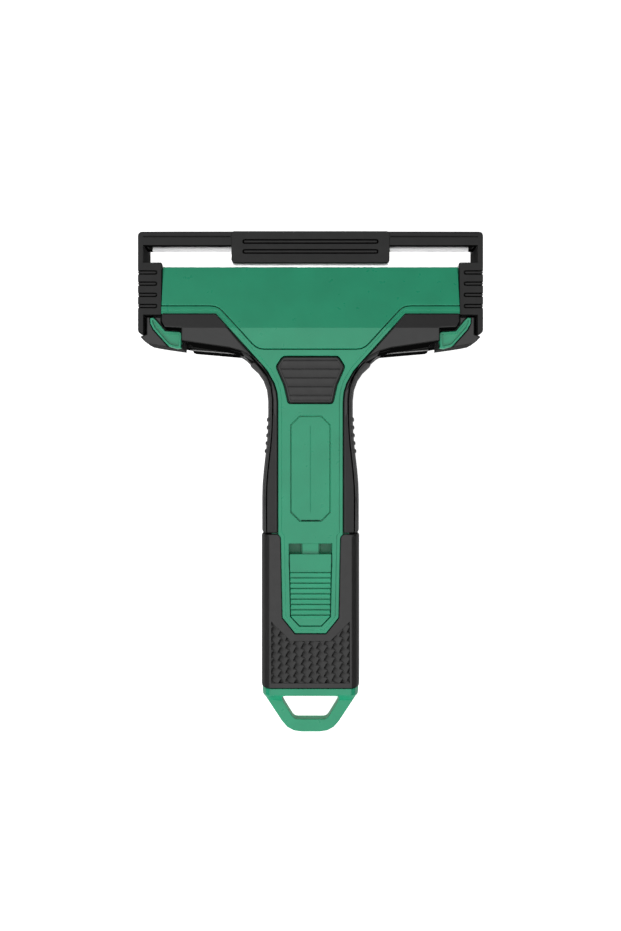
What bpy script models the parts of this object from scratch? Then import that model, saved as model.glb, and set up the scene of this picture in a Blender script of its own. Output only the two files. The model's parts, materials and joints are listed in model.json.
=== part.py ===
"""A hand scraper with a blade guard, corner levers, a slide button and a pull-out blade tray.

Lengths are metres. The scraper lies on its back: +Z is up through its front face, +Y points to the
blade's edge and +X is to the right as seen from the front. The origin lies under the middle of its
box, at the height of its flat back.
"""

import math

import bmesh
import bpy
from mathutils import Matrix

# Gaps between pieces, and how far a cutter runs past what it cuts
FIT_GAP = 0.0003
OVERRUN = 0.004

# Blade
BLADE_WIDTH = 0.100
BLADE_DEPTH = 0.018
BLADE_THICKNESS = 0.00045
BLADE_BEVEL = 0.0026
BLADE_HOLE_RADIUS = 0.0019
BLADE_HOLE_SPACING = 0.060
BLADE_HOLE_INSET = 0.0055
SPARE_BLADES = 5

# Lengths along the tool, from the loop's end to the guard's front
LOOP_LENGTH = 0.0128
CAP_SLOPE = 0.0030
CAP_BAND = 0.0021
TRAY_WALL = 0.0007
TRAY_SLACK = 0.0006
NECK_WALL = 0.0027
PANEL_TO_CREASE = 0.0064
CORNER_LENGTH = 0.0044
BAND_WIDTH = 0.0023
BLADE_BACK_ROOM = 0.0024
BLADE_REACH = 0.0078
GUARD_COVER = 0.0030
CREASE_TO_BAND = CORNER_LENGTH + FIT_GAP
CREASE_TO_PANEL_SHOULDER = CREASE_TO_BAND + BAND_WIDTH + FIT_GAP
CREASE_TO_FRONT = CREASE_TO_PANEL_SHOULDER + BLADE_BACK_ROOM + BLADE_DEPTH - BLADE_REACH
TRAY_LENGTH = 2 * TRAY_WALL + BLADE_WIDTH + TRAY_SLACK
HANDLE_LENGTH = LOOP_LENGTH + CAP_SLOPE + CAP_BAND + TRAY_LENGTH + FIT_GAP + NECK_WALL
HEAD_LENGTH = PANEL_TO_CREASE + CREASE_TO_FRONT + BLADE_REACH + GUARD_COVER
LENGTH = HANDLE_LENGTH + HEAD_LENGTH

# Places along the tool that follow from them
END_Y = -LENGTH / 2
CAP_FOOT_Y = END_Y + LOOP_LENGTH
CAP_EDGE_Y = CAP_FOOT_Y + CAP_SLOPE
CAP_TOP_Y = CAP_EDGE_Y + CAP_BAND
SLEEVE_END_Y = CAP_TOP_Y + FIT_GAP
TRAY_END_Y = CAP_TOP_Y + TRAY_LENGTH
CAVITY_END_Y = TRAY_END_Y + FIT_GAP
PANEL_FOOT_Y = CAVITY_END_Y + NECK_WALL
CREASE_Y = PANEL_FOOT_Y + PANEL_TO_CREASE
HEAD_FRONT_Y = CREASE_Y + CREASE_TO_FRONT
BLADE_EDGE_Y = HEAD_FRONT_Y + BLADE_REACH
BLADE_BACK_Y = BLADE_EDGE_Y - BLADE_DEPTH
GUARD_FRONT_Y = BLADE_EDGE_Y + GUARD_COVER
SLEEVE_LENGTH = 0.0476
SEAM_Y = SLEEVE_END_Y + SLEEVE_LENGTH
NECK_DROP = 0.0154
NECK_Y = PANEL_FOOT_Y - NECK_DROP

# Heights, from the flat back
GRIP_WALL = 0.0016
CORE_INSET = GRIP_WALL + FIT_GAP
CORE_FLOOR = 0.0009
CORE_CHAMFER = 0.0030
CORE_SIDE_WALL = 0.0032
BACK_PLATE = 0.0035
TRAY_FLOOR = 0.0010
TRAY_RAIL = 0.0044
TRAY_LOW = CORE_INSET + CORE_FLOOR + FIT_GAP
TRAY_HIGH = TRAY_LOW + TRAY_FLOOR + TRAY_RAIL
FRONT_HEIGHT = 0.0240
COVER_THICKNESS = 0.0032
BASE_THICKNESS = 0.0023
BASE_HIGH = FRONT_HEIGHT - COVER_THICKNESS
BASE_LOW = BASE_HIGH - BASE_THICKNESS
CORE_HIGH = BASE_LOW - FIT_GAP
CLAMP_THICKNESS = 0.00685
CLAMP_EDGE_THICKNESS = 0.00185
JAW_THICKNESS = 0.0066
SHELF_EDGE = 0.0007
CLAMP_LOW = FRONT_HEIGHT - CLAMP_THICKNESS
BLADE_HIGH = CLAMP_LOW - FIT_GAP
BLADE_LOW = BLADE_HIGH - BLADE_THICKNESS
JAW_HIGH = BLADE_LOW - FIT_GAP
JAW_LOW = JAW_HIGH - JAW_THICKNESS
SHELF_HIGH = JAW_LOW - FIT_GAP
HEAD_BACK_RISE = SHELF_HIGH - SHELF_EDGE
HEAD_EDGE_HEIGHT = CLAMP_LOW + CLAMP_EDGE_THICKNESS
FLANGE_THICKNESS = 0.0009
FLANGE_HIGH = CLAMP_LOW + FLANGE_THICKNESS

# Handle's outline in plan, and its corner sizes in section
TRAY_HALF = BLADE_DEPTH / 2 + FIT_GAP + TRAY_WALL
HANDLE_HALF = TRAY_HALF + FIT_GAP + CORE_SIDE_WALL + CORE_INSET
WAIST_INSET = 0.0019
WAIST_HALF = HANDLE_HALF - WAIST_INSET
WAIST_LENGTH = 0.0055
PLAIN_LENGTH = 0.0112
TAPER_LENGTH = NECK_Y - WAIST_LENGTH - SEAM_Y - PLAIN_LENGTH
NECK_RADIUS = 0.0140
RIM_START_SHARE = 0.33
SHOULDER_ANGLE = math.radians(9)
SIDE_STEPS = 6
BACK_ROUND_WIDTH = 0.0040
BACK_ROUND_HEIGHT = 0.0060
FRONT_ROUND_WIDTH = 0.0027
FRONT_ROUND_HEIGHT = 0.0070
ROUND_STEPS = 3

# Head's pieces in plan
SIDE_HALF = BLADE_WIDTH / 2
HEAD_INSET = 0.0037
HEAD_HALF = SIDE_HALF - HEAD_INSET
SHOULDER_INSET = 0.0073
SHOULDER_HALF = HEAD_HALF - SHOULDER_INSET
CORE_HALF = SHOULDER_HALF - 2 * FIT_GAP
CORE_STEP = 0.0041
PANEL_SHOULDER_HALF = 0.0288
PANEL_FOOT_HALF = 0.0164
PANEL_ROUND = 0.0022
BAND_CORNER_HALF = 0.0293
BAND_NECK_SHARES = ((0.015, 0.11), (0.06, 0.21), (0.17, 0.35), (0.32, 0.47))
WING_CUT_SHARE = 0.83
STOP_WIDTH = 0.0012
REAR_FRONT_SETBACK = 0.0027

# Places in the head that follow from them
CORE_STEP_Y = PANEL_FOOT_Y + CORE_STEP
CORNER_Y = CREASE_Y + CORNER_LENGTH
BAND_LOW_Y = CREASE_Y + CREASE_TO_BAND
BAND_HIGH_Y = BAND_LOW_Y + BAND_WIDTH
PANEL_SHOULDER_Y = CREASE_Y + CREASE_TO_PANEL_SHOULDER

# Green front strip and its recesses
STRIP_HALF = 0.0099
STRIP_START_DROP = 0.0164
TONGUE_HALF = 0.0091
TONGUE_FOOT_HALF = 0.0086
TONGUE_END_HALF = 0.0047
TONGUE_LENGTH = 0.0307
TONGUE_CHAMFER = 0.0048
BASE_INSET = 0.0033
OCTAGON_HALF = 0.0062
OCTAGON_CHAMFER = 0.0028
OCTAGON_DEPTH = 0.0004
OCTAGON_ABOVE_SEAM = 0.0038
OCTAGON_BELOW_PAD = 0.0039
SEAM_STEP = 0.0010

# Thumb pad
PAD_DROP = 0.0025
PAD_LENGTH = 0.0143
PAD_TOP_Y = PANEL_FOOT_Y - PAD_DROP
PAD_FOOT_Y = PAD_TOP_Y - PAD_LENGTH
PAD_TOP_HALF = 0.0085
PAD_WIDE_HALF = 0.0105
PAD_WAIST_HALF = 0.0080
PAD_FOOT_HALF = 0.0068
PAD_WIDE_SHARE = 0.21
PAD_WAIST_SHARE = 0.62
PAD_PROUD = 0.0004
PAD_GROOVES = 5
PAD_GROOVE_START = 0.0010
PAD_GROOVE_PITCH = 0.00273
PAD_GROOVE_WIDTH = 0.0005
PAD_GROOVE_DEPTH = 0.0005
PAD_ROUND = 0.0008

# Side grips and their finger ridges
GRIP_SECTION_SHARES = ((-1.0, 0.0), (-1.0, 1.0), (-0.65, 1.0), (-0.2, 0.82))
GRIP_SECTION_SHARES += ((0.0, 0.6), (0.0, 0.3), (-0.35, 0.08), (-0.7, 0.0))
GRIP_PROUD_SHARES = (0.0, 0.0, 0.0, 1.0, 1.0, 1.0, 1.0, 0.0)
RIDGE_SHARES = ((-1.0, 0.0), (-0.5, 1.0), (0.5, 1.0), (1.0, 0.0))
RIDGES = 5
RIDGE_PITCH = 0.00248
RIDGE_WIDTH = 0.0015
RIDGE_PROUD = 0.0004
RIDGE_BELOW_NECK = 0.0061

# Slide button
BUTTON_TRAVEL = 0.0030
RECESS_DROP = 0.0030
BUTTON_HALF = 0.0064
BUTTON_FOOT_HALF = 0.0060
BUTTON_END_HALF = 0.0033
BUTTON_LENGTH = 0.0220
BUTTON_CHAMFER = 0.0028
BUTTON_RIBS = 9
BUTTON_RIB_PITCH = 0.00164
BUTTON_RIB_START = 0.0058
BUTTON_RIB_WIDTH = 0.0008
BUTTON_RIB_PROUD = 0.0004
BUTTON_THICKNESS = 0.0036
BUTTON_NECK_HALF = 0.0025
BUTTON_NECK_LENGTH = 0.0072
BUTTON_NECK_THICKNESS = 0.0020
BUTTON_LEG_HALF = 0.0016
BUTTON_LEG_WIDTH = 0.0024
BUTTON_LEG_DROP = 0.0090
BUTTON_LEG_LENGTH = 0.0050
SPRING_RADIUS = 0.00085
SPRING_WIRE = 0.00036
SPRING_TURNS = 5
SPRING_LENGTH = 0.0055
SPRING_POINTS_A_TURN = 9
SPRING_ROOM_RADIUS = 0.0013
CATCH_HALF = 0.0030
CATCH_THICKNESS = 0.0022
CATCH_OVERLAP = 0.0020

# End cap and loop
LOOP_THICKNESS = 0.0043
LOOP_END_HALF = 0.0070
LOOP_CORNER_ROUND = 0.0040
CAP_LIP = 0.0003
CAP_RUN_OUT = 0.0026
CAP_FOOT_RISE_SHARE = 0.24
HOLE_TOP_HALF = 0.0092
HOLE_END_HALF = 0.0053
HOLE_TOP_INSET = 0.0125
HOLE_SLOPE_INSET = 0.0103
HOLE_END_INSET = 0.0041
HOLE_ROUND = 0.0012

# Guard
GUARD_WALL = 0.0017
GUARD_SIDE_ROOM = 0.0023
GUARD_INNER_HALF = SIDE_HALF + GUARD_SIDE_ROOM
GUARD_HALF = GUARD_INNER_HALF + GUARD_WALL
GUARD_PROUD = 0.0015
GUARD_HIGH = HEAD_EDGE_HEIGHT + GUARD_PROUD
GUARD_BAR_WIDTH = 0.0043
GUARD_BAR_DEPTH = 0.0090
GUARD_LIP_WIDTH = 0.00145
GUARD_LINE_WIDTH = 0.0003
GUARD_LINE_DEPTH = 0.0005
GUARD_ARM_BELOW_CREASE = 0.0013
GUARD_CORNER_ROUND = 0.0014
GUARD_BLOCK_HALF = HEAD_HALF + FIT_GAP
GUARD_BLOCK_SETBACK = 0.0097
GUARD_RAIL_THICKNESS = 0.0016
GUARD_RIBS = 4
GUARD_RIB_PITCH = 0.0035
GUARD_RIB_START = 0.0031
GUARD_RIB_WIDTH = 0.0013
GUARD_RIB_DEPTH = 0.0006
GUARD_PAD_HALF = 0.0247
GUARD_PAD_THICKNESS = 0.0016
GUARD_PAD_ROUND = 0.0010
GUARD_SLOT_HALF = 0.0212
GUARD_SLOT_WIDTH = 0.0014
GUARD_SLOT_START = 0.0032
GUARD_SLOT_PITCH = 0.0031
GUARD_SLOTS = 2
GUARD_EDGE_ROOM = 0.0010

# Corner levers and their tabs
LEVER_SETBACK = 0.0009
LEVER_LOW = JAW_LOW
LEVER_HIGH = BASE_HIGH - LEVER_SETBACK
LEVER_SIDE_PROUD = 0.0014
LEVER_OUTER_HALF = SIDE_HALF + LEVER_SIDE_PROUD
LEVER_PIVOT_HALF = SIDE_HALF - LEVER_SIDE_PROUD
LEVER_INNER_GAP = 0.0012
LEVER_INNER_HALF = SHOULDER_HALF + LEVER_INNER_GAP
LEVER_NOSE = 0.0020
LEVER_NOSE_HALF = LEVER_OUTER_HALF + LEVER_NOSE
LEVER_PIVOT_ABOVE_CREASE = 0.0020
LEVER_SHARES = ((0.0, 0.0), (0.46, 0.08), (0.78, 0.14), (1.0, 0.23))
LEVER_NOSE_SHARE = 0.43
LEVER_CORNER_SHARES = ((1.0, 0.50), (1.0, 1.0), (0.58, 1.0), (0.57, 0.76), (0.42, 0.62), (0.0, 0.59))
TAB_SHARES = ((0.03, 0.10), (0.15, 0.085), (0.38, 0.155), (0.79, 0.63), (0.88, 0.80), (0.89, 0.96))
TAB_SHARES += ((0.80, 0.97), (0.72, 0.89), (0.58, 0.72), (0.47, 0.58), (0.06, 0.555), (0.015, 0.51))
TAB_THICKNESS = 0.0029
TAB_PROUD = 0.0005
TAB_RIM = 0.0007
TAB_DISH = 0.0006
PIN_RADIUS = 0.0010
PIN_LOW_SHARE = 0.53
PIN_REACH_UP = 0.0071
PIN_LOW = SHELF_HIGH * PIN_LOW_SHARE
PIN_HIGH = LEVER_LOW + PIN_REACH_UP

# Screws
SCREW_RADIUS = 0.00125
SCREW_HEAD_RADIUS = 0.0026
SCREW_HEAD_THICKNESS = 0.0017
SCREW_SOCKET_RADIUS = 0.0011
SCREW_SOCKET_DEPTH = 0.0009
SCREW_BITE = 0.0013
SCREW_HIGH = BASE_HIGH + SCREW_BITE
CLAMP_SCREW_SEAT = 0.0032
CLAMP_SCREW_SINK = SHELF_HIGH - CLAMP_SCREW_SEAT
SHELL_SCREW_SINK = 0.0024
CLAMP_SCREW_SPACING = 0.0200
CLAMP_SCREW_ABOVE_CREASE = 0.0022
SHELL_SCREW_BESIDE_TRAY = 0.0030
SHELL_SCREW_HALF = TRAY_HALF + SHELL_SCREW_BESIDE_TRAY
SHELL_SCREW_BELOW_FOOT = 0.0029
ROUND_SIDES = 20

# Colours and roughness of the materials, and the angle from which an edge is sharp
GREEN = (0.045, 0.290, 0.165)
BLACK = (0.022, 0.022, 0.022)
RUBBER_BLACK = (0.030, 0.029, 0.030)
STEEL = (0.620, 0.630, 0.640)
GREEN_ROUGHNESS = 0.42
BLACK_ROUGHNESS = 0.45
RUBBER_ROUGHNESS = 0.60
STEEL_ROUGHNESS = 0.22
SHARP_ANGLE = math.radians(35)


def clear_scene():
    for item in list(bpy.data.objects):
        bpy.data.objects.remove(item)


def material(name, color, roughness, metallic=0.0):
    made = bpy.data.materials.new(name)
    made.use_nodes = True
    shader = made.node_tree.nodes["Principled BSDF"]
    shader.inputs["Base Color"].default_value = (*color, 1.0)
    shader.inputs["Roughness"].default_value = roughness
    shader.inputs["Metallic"].default_value = metallic
    return made


# Outlines

def both_sides(right):
    """A closed outline from its right half, listed from the low end to the high end."""
    return list(right) + [(-x, y) for x, y in reversed(right)]


def anticlockwise(outline):
    turns = 0.0
    for (x0, y0), (x1, y1) in zip(outline, outline[1:] + outline[:1]):
        turns += x0 * y1 - x1 * y0
    return list(outline) if turns > 0 else list(reversed(outline))


def inset(outline, distance):
    """The outline moved inwards by a distance, or outwards by a negative one."""
    points = anticlockwise(outline)
    moved = []
    for index, (x, y) in enumerate(points):
        before = points[index - 1]
        after = points[(index + 1) % len(points)]
        normals = []
        for (x0, y0), (x1, y1) in ((before, (x, y)), ((x, y), after)):
            length = math.hypot(x1 - x0, y1 - y0)
            normals.append(((y0 - y1) / length, (x1 - x0) / length))
        (ax, ay), (bx, by) = normals
        share = distance / (1 + ax * bx + ay * by)
        moved.append((x + (ax + bx) * share, y + (ay + by) * share))
    return moved


def rounded(outline, radii, steps=ROUND_STEPS):
    """The outline with each corner curved from a radius away; a radius of zero leaves it sharp."""
    points = []
    for index, (corner, radius) in enumerate(zip(outline, radii)):
        if not radius:
            points.append(corner)
            continue
        ends = []
        for other in (outline[index - 1], outline[(index + 1) % len(outline)]):
            length = math.dist(corner, other)
            share = min(radius, length / 2) / length
            ends.append([c + (o - c) * share for c, o in zip(corner, other)])
        for step in range(steps + 1):
            t = step / steps
            weights = ((1 - t) ** 2, 2 * t * (1 - t), t ** 2)
            places = (ends[0], corner, ends[1])
            points.append(tuple(sum(w * p[k] for w, p in zip(weights, places)) for k in (0, 1)))
    before = points[-1:] + points[:-1]
    return [p for p, q in zip(points, before) if math.dist(p, q) > FIT_GAP / ROUND_SIDES]


def rounded_sides(right, radii):
    """A closed outline from its right half, with a radius for each corner of that half."""
    return rounded(both_sides(right), list(radii) + list(reversed(radii)))


def rounded_rectangle(x0, x1, y0, y1, radius):
    return rounded(rectangle(x0, x1, y0, y1), [radius] * 4)


def rectangle(x0, x1, y0, y1):
    return [(x0, y0), (x1, y0), (x1, y1), (x0, y1)]


def side_curve(depth, low_y):
    """The handle's right side from low_y up to the shoulder's end, moved inwards by a depth."""
    bulge_y = NECK_Y - WAIST_LENGTH - TAPER_LENGTH
    curve = [(HANDLE_HALF, low_y)]
    for step in range(SIDE_STEPS + 1):
        share = step / SIDE_STEPS
        blend = (1 - math.cos(math.pi * share)) / 2
        y = bulge_y + TAPER_LENGTH * share
        if y > low_y:
            curve.append((HANDLE_HALF + (WAIST_HALF - HANDLE_HALF) * blend, y))
    arc_turn = math.pi / 2 - SHOULDER_ANGLE
    for step in range(SIDE_STEPS + 1):
        turn = arc_turn * step / SIDE_STEPS
        x = WAIST_HALF + NECK_RADIUS * (1 - math.cos(turn))
        curve.append((x, NECK_Y + NECK_RADIUS * math.sin(turn)))
    x, y = curve[-1]
    curve.append((SHOULDER_HALF, y + (SHOULDER_HALF - x) * math.tan(SHOULDER_ANGLE)))
    moved = []
    for index, (x, y) in enumerate(curve):
        x0, y0 = curve[max(index - 1, 0)]
        x1, y1 = curve[min(index + 1, len(curve) - 1)]
        length = math.hypot(x1 - x0, y1 - y0)
        moved.append((x - (y1 - y0) / length * depth, y + (x1 - x0) / length * depth))
    moved[0] = (moved[0][0], low_y)
    return moved


def handle_section(half, depth=0.0):
    """The handle's outline in x and z for a half-width, moved inwards by a depth."""
    right = []
    for step in range(ROUND_STEPS + 1):
        turn = math.pi / 2 * step / ROUND_STEPS
        x = half - BACK_ROUND_WIDTH * (1 - math.sin(turn))
        right.append((x, BACK_ROUND_HEIGHT * (1 - math.cos(turn))))
    for step in range(ROUND_STEPS + 1):
        turn = math.pi / 2 * step / ROUND_STEPS
        x = half - FRONT_ROUND_WIDTH * (1 - math.cos(turn))
        right.append((x, FRONT_HEIGHT - FRONT_ROUND_HEIGHT * (1 - math.sin(turn))))
    return inset(both_sides(right), depth)


# Solids

def loft(name, rings):
    """A closed solid skinned over rings of equally many points."""
    mesh = bpy.data.meshes.new(name)
    skin = bmesh.new()
    rows = [[skin.verts.new(point) for point in ring] for ring in rings]
    for low, high in zip(rows, rows[1:]):
        for index, corner in enumerate(low):
            after = (index + 1) % len(low)
            skin.faces.new((corner, low[after], high[after], high[index]))
    skin.faces.new(list(reversed(rows[0])))
    skin.faces.new(rows[-1])
    bmesh.ops.recalc_face_normals(skin, faces=skin.faces)
    skin.to_mesh(mesh)
    skin.free()
    made = bpy.data.objects.new(name, mesh)
    bpy.context.scene.collection.objects.link(made)
    return made


def prism(name, outline, low, high, low_chamfer=0.0, high_chamfer=0.0):
    """An outline in plan, carried from one height to another, with its rims chamfered."""
    points = anticlockwise(outline)
    levels = [(0.0, low + low_chamfer), (0.0, high - high_chamfer)]
    if low_chamfer:
        levels.insert(0, (low_chamfer, low))
    if high_chamfer:
        levels.append((high_chamfer, high))
    rings = []
    for depth, z in levels:
        ring = inset(points, depth) if depth else points
        rings.append([(x, y, z) for x, y in ring])
    return loft(name, rings)


def across(name, profile, half):
    """A profile in y and z carried across the tool, from -half to +half."""
    return loft(name, [[(x, y, z) for y, z in profile] for x in (-half, half)])


def along(name, profile, low_y, high_y):
    """A profile in x and z carried along the tool."""
    return loft(name, [[(x, y, z) for x, z in profile] for y in (low_y, high_y)])


def block(name, x0, x1, y0, y1, z0, z1):
    return prism(name, rectangle(x0, x1, y0, y1), z0, z1)


def side_span(sign, near, far):
    """A span of x on one side of the middle, from its low end to its high end."""
    return sorted((sign * near, sign * far))


def turned(name, x, y, levels, sides=ROUND_SIDES):
    """A round solid about a vertical axis, from its radii and heights, listed from the bottom."""
    rings = []
    for radius, z in levels:
        ring = []
        for index in range(sides):
            turn = 2 * math.pi * index / sides
            ring.append((x + radius * math.cos(turn), y + radius * math.sin(turn), z))
        rings.append(ring)
    return loft(name, rings)


def combine(target, tool, operation):
    change = target.modifiers.new(tool.name, "BOOLEAN")
    change.operation = operation
    change.solver = "EXACT"
    change.object = tool
    tool.hide_render = True
    tool.display_type = "WIRE"


def cut(target, *tools):
    for tool in tools:
        combine(target, tool, "DIFFERENCE")


def fuse(target, *tools):
    for tool in tools:
        combine(target, tool, "UNION")


def use_manifold_solver(item):
    """For shapes whose faces the exact solver loses where flush faces meet."""
    for change in item.modifiers:
        change.solver = "MANIFOLD"


def apply_shape(item):
    """Writes the evaluated shape into the object's own mesh."""
    graph = bpy.context.evaluated_depsgraph_get()
    shape = bpy.data.meshes.new_from_object(item.evaluated_get(graph))
    item.modifiers.clear()
    item.data = shape


def finish(item, look, smooth=False):
    item.data.materials.clear()
    item.data.materials.append(look)
    if smooth:
        item.data.shade_smooth()
        item.data.set_sharp_from_angle(angle=SHARP_ANGLE)
    return item


def move_origin(item, x, y, z):
    """Puts an object's origin at a point and leaves its shape where it is."""
    item.data.transform(Matrix.Translation((-x, -y, -z)))
    item.location = (x, y, z)


# Shared cutters and places

def front_slope(name):
    """Everything above the head's sloping front."""
    drop = (FRONT_HEIGHT - HEAD_EDGE_HEIGHT) / CREASE_TO_FRONT
    near_y = CREASE_Y - OVERRUN
    far_y = GUARD_FRONT_Y + OVERRUN
    top = FRONT_HEIGHT + 2 * OVERRUN
    profile = [(y, FRONT_HEIGHT - drop * (y - CREASE_Y)) for y in (near_y, far_y)]
    profile += [(far_y, top), (near_y, top)]
    return across(name, profile, GUARD_HALF)


def back_slope(name):
    """Everything below the head's rising back."""
    rise = HEAD_BACK_RISE / (HEAD_FRONT_Y - PANEL_FOOT_Y)
    near_y = PANEL_FOOT_Y - OVERRUN
    far_y = GUARD_FRONT_Y + OVERRUN
    profile = [(near_y, -2 * OVERRUN), (far_y, -2 * OVERRUN)]
    profile += [(y, rise * (y - PANEL_FOOT_Y)) for y in (far_y, near_y)]
    return across(name, profile, GUARD_HALF)


def clamp_screw_places():
    y = CREASE_Y + CLAMP_SCREW_ABOVE_CREASE
    return [(x, y) for x in (-CLAMP_SCREW_SPACING, 0.0, CLAMP_SCREW_SPACING)]


def shell_screw_places():
    y = PANEL_FOOT_Y - SHELL_SCREW_BELOW_FOOT
    return [(-SHELL_SCREW_HALF, y), (SHELL_SCREW_HALF, y)]


def lever_pivots():
    y = CREASE_Y + LEVER_PIVOT_ABOVE_CREASE
    return [(-LEVER_PIVOT_HALF, y), (LEVER_PIVOT_HALF, y)]


def bores(name, places, radius, low, high):
    """Round cutters at each place."""
    levels = ((radius, low), (radius, high))
    return [turned(f"{name}_{n}", x, y, levels) for n, (x, y) in enumerate(places)]


# Sub-parts

def rear_shell(look):
    core_right = side_curve(CORE_INSET, SLEEVE_END_Y)
    core_right[-1] = (CORE_HALF, core_right[-1][1])
    core_right.append((CORE_HALF, CORE_STEP_Y))
    shell = prism("rear_shell", both_sides(core_right), CORE_INSET, CORE_HIGH)
    cut(shell, *core_edges())

    back_right = side_curve(GRIP_WALL / 2, SEAM_Y + FIT_GAP)
    back_right.append((CORE_HALF, CORE_STEP_Y))
    back = prism("rear_back", both_sides(back_right), 0.0, BACK_PLATE, low_chamfer=BACK_PLATE / 2)

    rim = neck_rim()
    shelf_half = LEVER_OUTER_HALF - 2 * FIT_GAP
    head_half = HEAD_HALF - FIT_GAP
    rim[-1] = (CORE_HALF, rim[-1][1])
    rim += [(CORE_HALF, CORE_STEP_Y - CORE_INSET), (shelf_half, CORE_STEP_Y)]
    rim += [(shelf_half, CORNER_Y), (head_half, CORNER_Y)]
    rim.append((head_half, HEAD_FRONT_Y - REAR_FRONT_SETBACK))
    head = prism("rear_head", both_sides(rim), 0.0, SHELF_HIGH)
    fuse(shell, back, head)

    cavity_half = TRAY_HALF + FIT_GAP
    low = TRAY_LOW - FIT_GAP
    room = block("rear_cavity", -cavity_half, cavity_half, SLEEVE_END_Y - OVERRUN, CAVITY_END_Y,
                 low, CORE_HIGH + OVERRUN)
    cut(shell, back_slope("rear_slope"), room)
    head_room = SCREW_HEAD_RADIUS + FIT_GAP
    cut(shell, *bores("rear_clamp_sink", clamp_screw_places(), head_room, -OVERRUN,
                      CLAMP_SCREW_SINK))
    cut(shell, *bores("rear_shell_sink", shell_screw_places(), head_room, -OVERRUN,
                      SHELL_SCREW_SINK))
    thread_room = SCREW_RADIUS + FIT_GAP
    both = clamp_screw_places() + shell_screw_places()
    cut(shell, *bores("rear_bore", both, thread_room, -OVERRUN, CORE_HIGH + OVERRUN))
    pin_room = PIN_RADIUS + FIT_GAP
    cut(shell, *bores("rear_pin_hole", lever_pivots(), pin_room, PIN_LOW - FIT_GAP, JAW_LOW))
    use_manifold_solver(shell)
    return finish(shell, look)


def core_edges():
    """Cutters that bevel the core's low edges inside the round-backed sleeve."""
    near = HANDLE_HALF - CORE_INSET - CORE_CHAMFER - OVERRUN
    far = HANDLE_HALF - CORE_INSET + OVERRUN
    low = CORE_INSET - OVERRUN
    high = CORE_INSET + CORE_CHAMFER + OVERRUN
    made = []
    for sign, side in ((-1, "left"), (1, "right")):
        profile = [(sign * near, low), (sign * far, low), (sign * far, high)]
        made.append(along(f"rear_edge_{side}", profile, SLEEVE_END_Y - OVERRUN, SEAM_Y))
    return made


def neck_rim():
    """The head block's right edge where it follows the handle's side."""
    start_half = WAIST_HALF + NECK_RADIUS * RIM_START_SHARE
    return [point for point in side_curve(FIT_GAP, SEAM_Y) if point[0] > start_half]


def jaw_frame(look):
    narrow = CORE_HALF - FIT_GAP
    front_y = HEAD_FRONT_Y - FIT_GAP
    right = [(narrow, CORE_STEP_Y + FIT_GAP), (narrow, BAND_LOW_Y)]
    right += [(SIDE_HALF, BAND_LOW_Y), (SIDE_HALF, front_y)]
    jaw = prism("jaw_frame", both_sides(right), JAW_LOW, JAW_HIGH)
    stop_high_y = BLADE_BACK_Y - FIT_GAP
    sunk = JAW_HIGH - JAW_THICKNESS / 2
    stop = block("jaw_stop", -HEAD_HALF, HEAD_HALF, stop_high_y - STOP_WIDTH, stop_high_y,
                 sunk, BLADE_HIGH)
    peg_radius = BLADE_HOLE_RADIUS - FIT_GAP
    pegs = bores("jaw_peg", blade_hole_places(), peg_radius, sunk, BLADE_HIGH)
    fuse(jaw, stop, *pegs)
    cut(jaw, *bores("jaw_bore", clamp_screw_places(), SCREW_RADIUS + FIT_GAP,
                    JAW_LOW - OVERRUN, JAW_HIGH + OVERRUN))
    return finish(jaw, look)


def blade_hole_places():
    y = BLADE_BACK_Y + BLADE_HOLE_INSET
    return [(-BLADE_HOLE_SPACING / 2, y), (BLADE_HOLE_SPACING / 2, y)]


def blades(look):
    """The blade in the jaw, and the spare ones lying lengthwise in the tray."""
    half = BLADE_DEPTH / 2
    middle = BLADE_THICKNESS / 2
    profile = [(-half, 0.0), (half - middle, 0.0), (half, middle / 2)]
    profile += [(half - BLADE_BEVEL, BLADE_THICKNESS), (-half, BLADE_THICKNESS)]
    blade = across("blade", profile, BLADE_WIDTH / 2)
    hole_y = BLADE_HOLE_INSET - half
    places = [(-BLADE_HOLE_SPACING / 2, hole_y), (BLADE_HOLE_SPACING / 2, hole_y)]
    holes = bores("blade_hole", places, BLADE_HOLE_RADIUS, -OVERRUN, OVERRUN)
    cut(blade, *holes)
    apply_shape(blade)
    for hole in holes:
        bpy.data.objects.remove(hole)
    blade.location = (0.0, BLADE_BACK_Y + half, BLADE_LOW)
    made = [finish(blade, look)]
    stack_y = CAP_TOP_Y + TRAY_LENGTH / 2
    for number in range(SPARE_BLADES):
        spare = bpy.data.objects.new(f"spare_blade_{number + 1}", blade.data)
        bpy.context.scene.collection.objects.link(spare)
        rise = (BLADE_THICKNESS + FIT_GAP) * number
        spare.location = (0.0, stack_y, TRAY_LOW + TRAY_FLOOR + FIT_GAP + rise)
        spare.rotation_euler = (0.0, 0.0, math.pi / 2)
        made.append(spare)
    return made


def panel_outline(grow=0.0):
    """The clamp plate's outline in plan."""
    right = [(PANEL_FOOT_HALF, PANEL_FOOT_Y), (PANEL_SHOULDER_HALF, PANEL_SHOULDER_Y)]
    right += [(HEAD_HALF, PANEL_SHOULDER_Y), (HEAD_HALF, HEAD_FRONT_Y)]
    return inset(rounded_sides(right, (PANEL_ROUND, PANEL_ROUND, 0.0, 0.0)), -grow)


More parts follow.
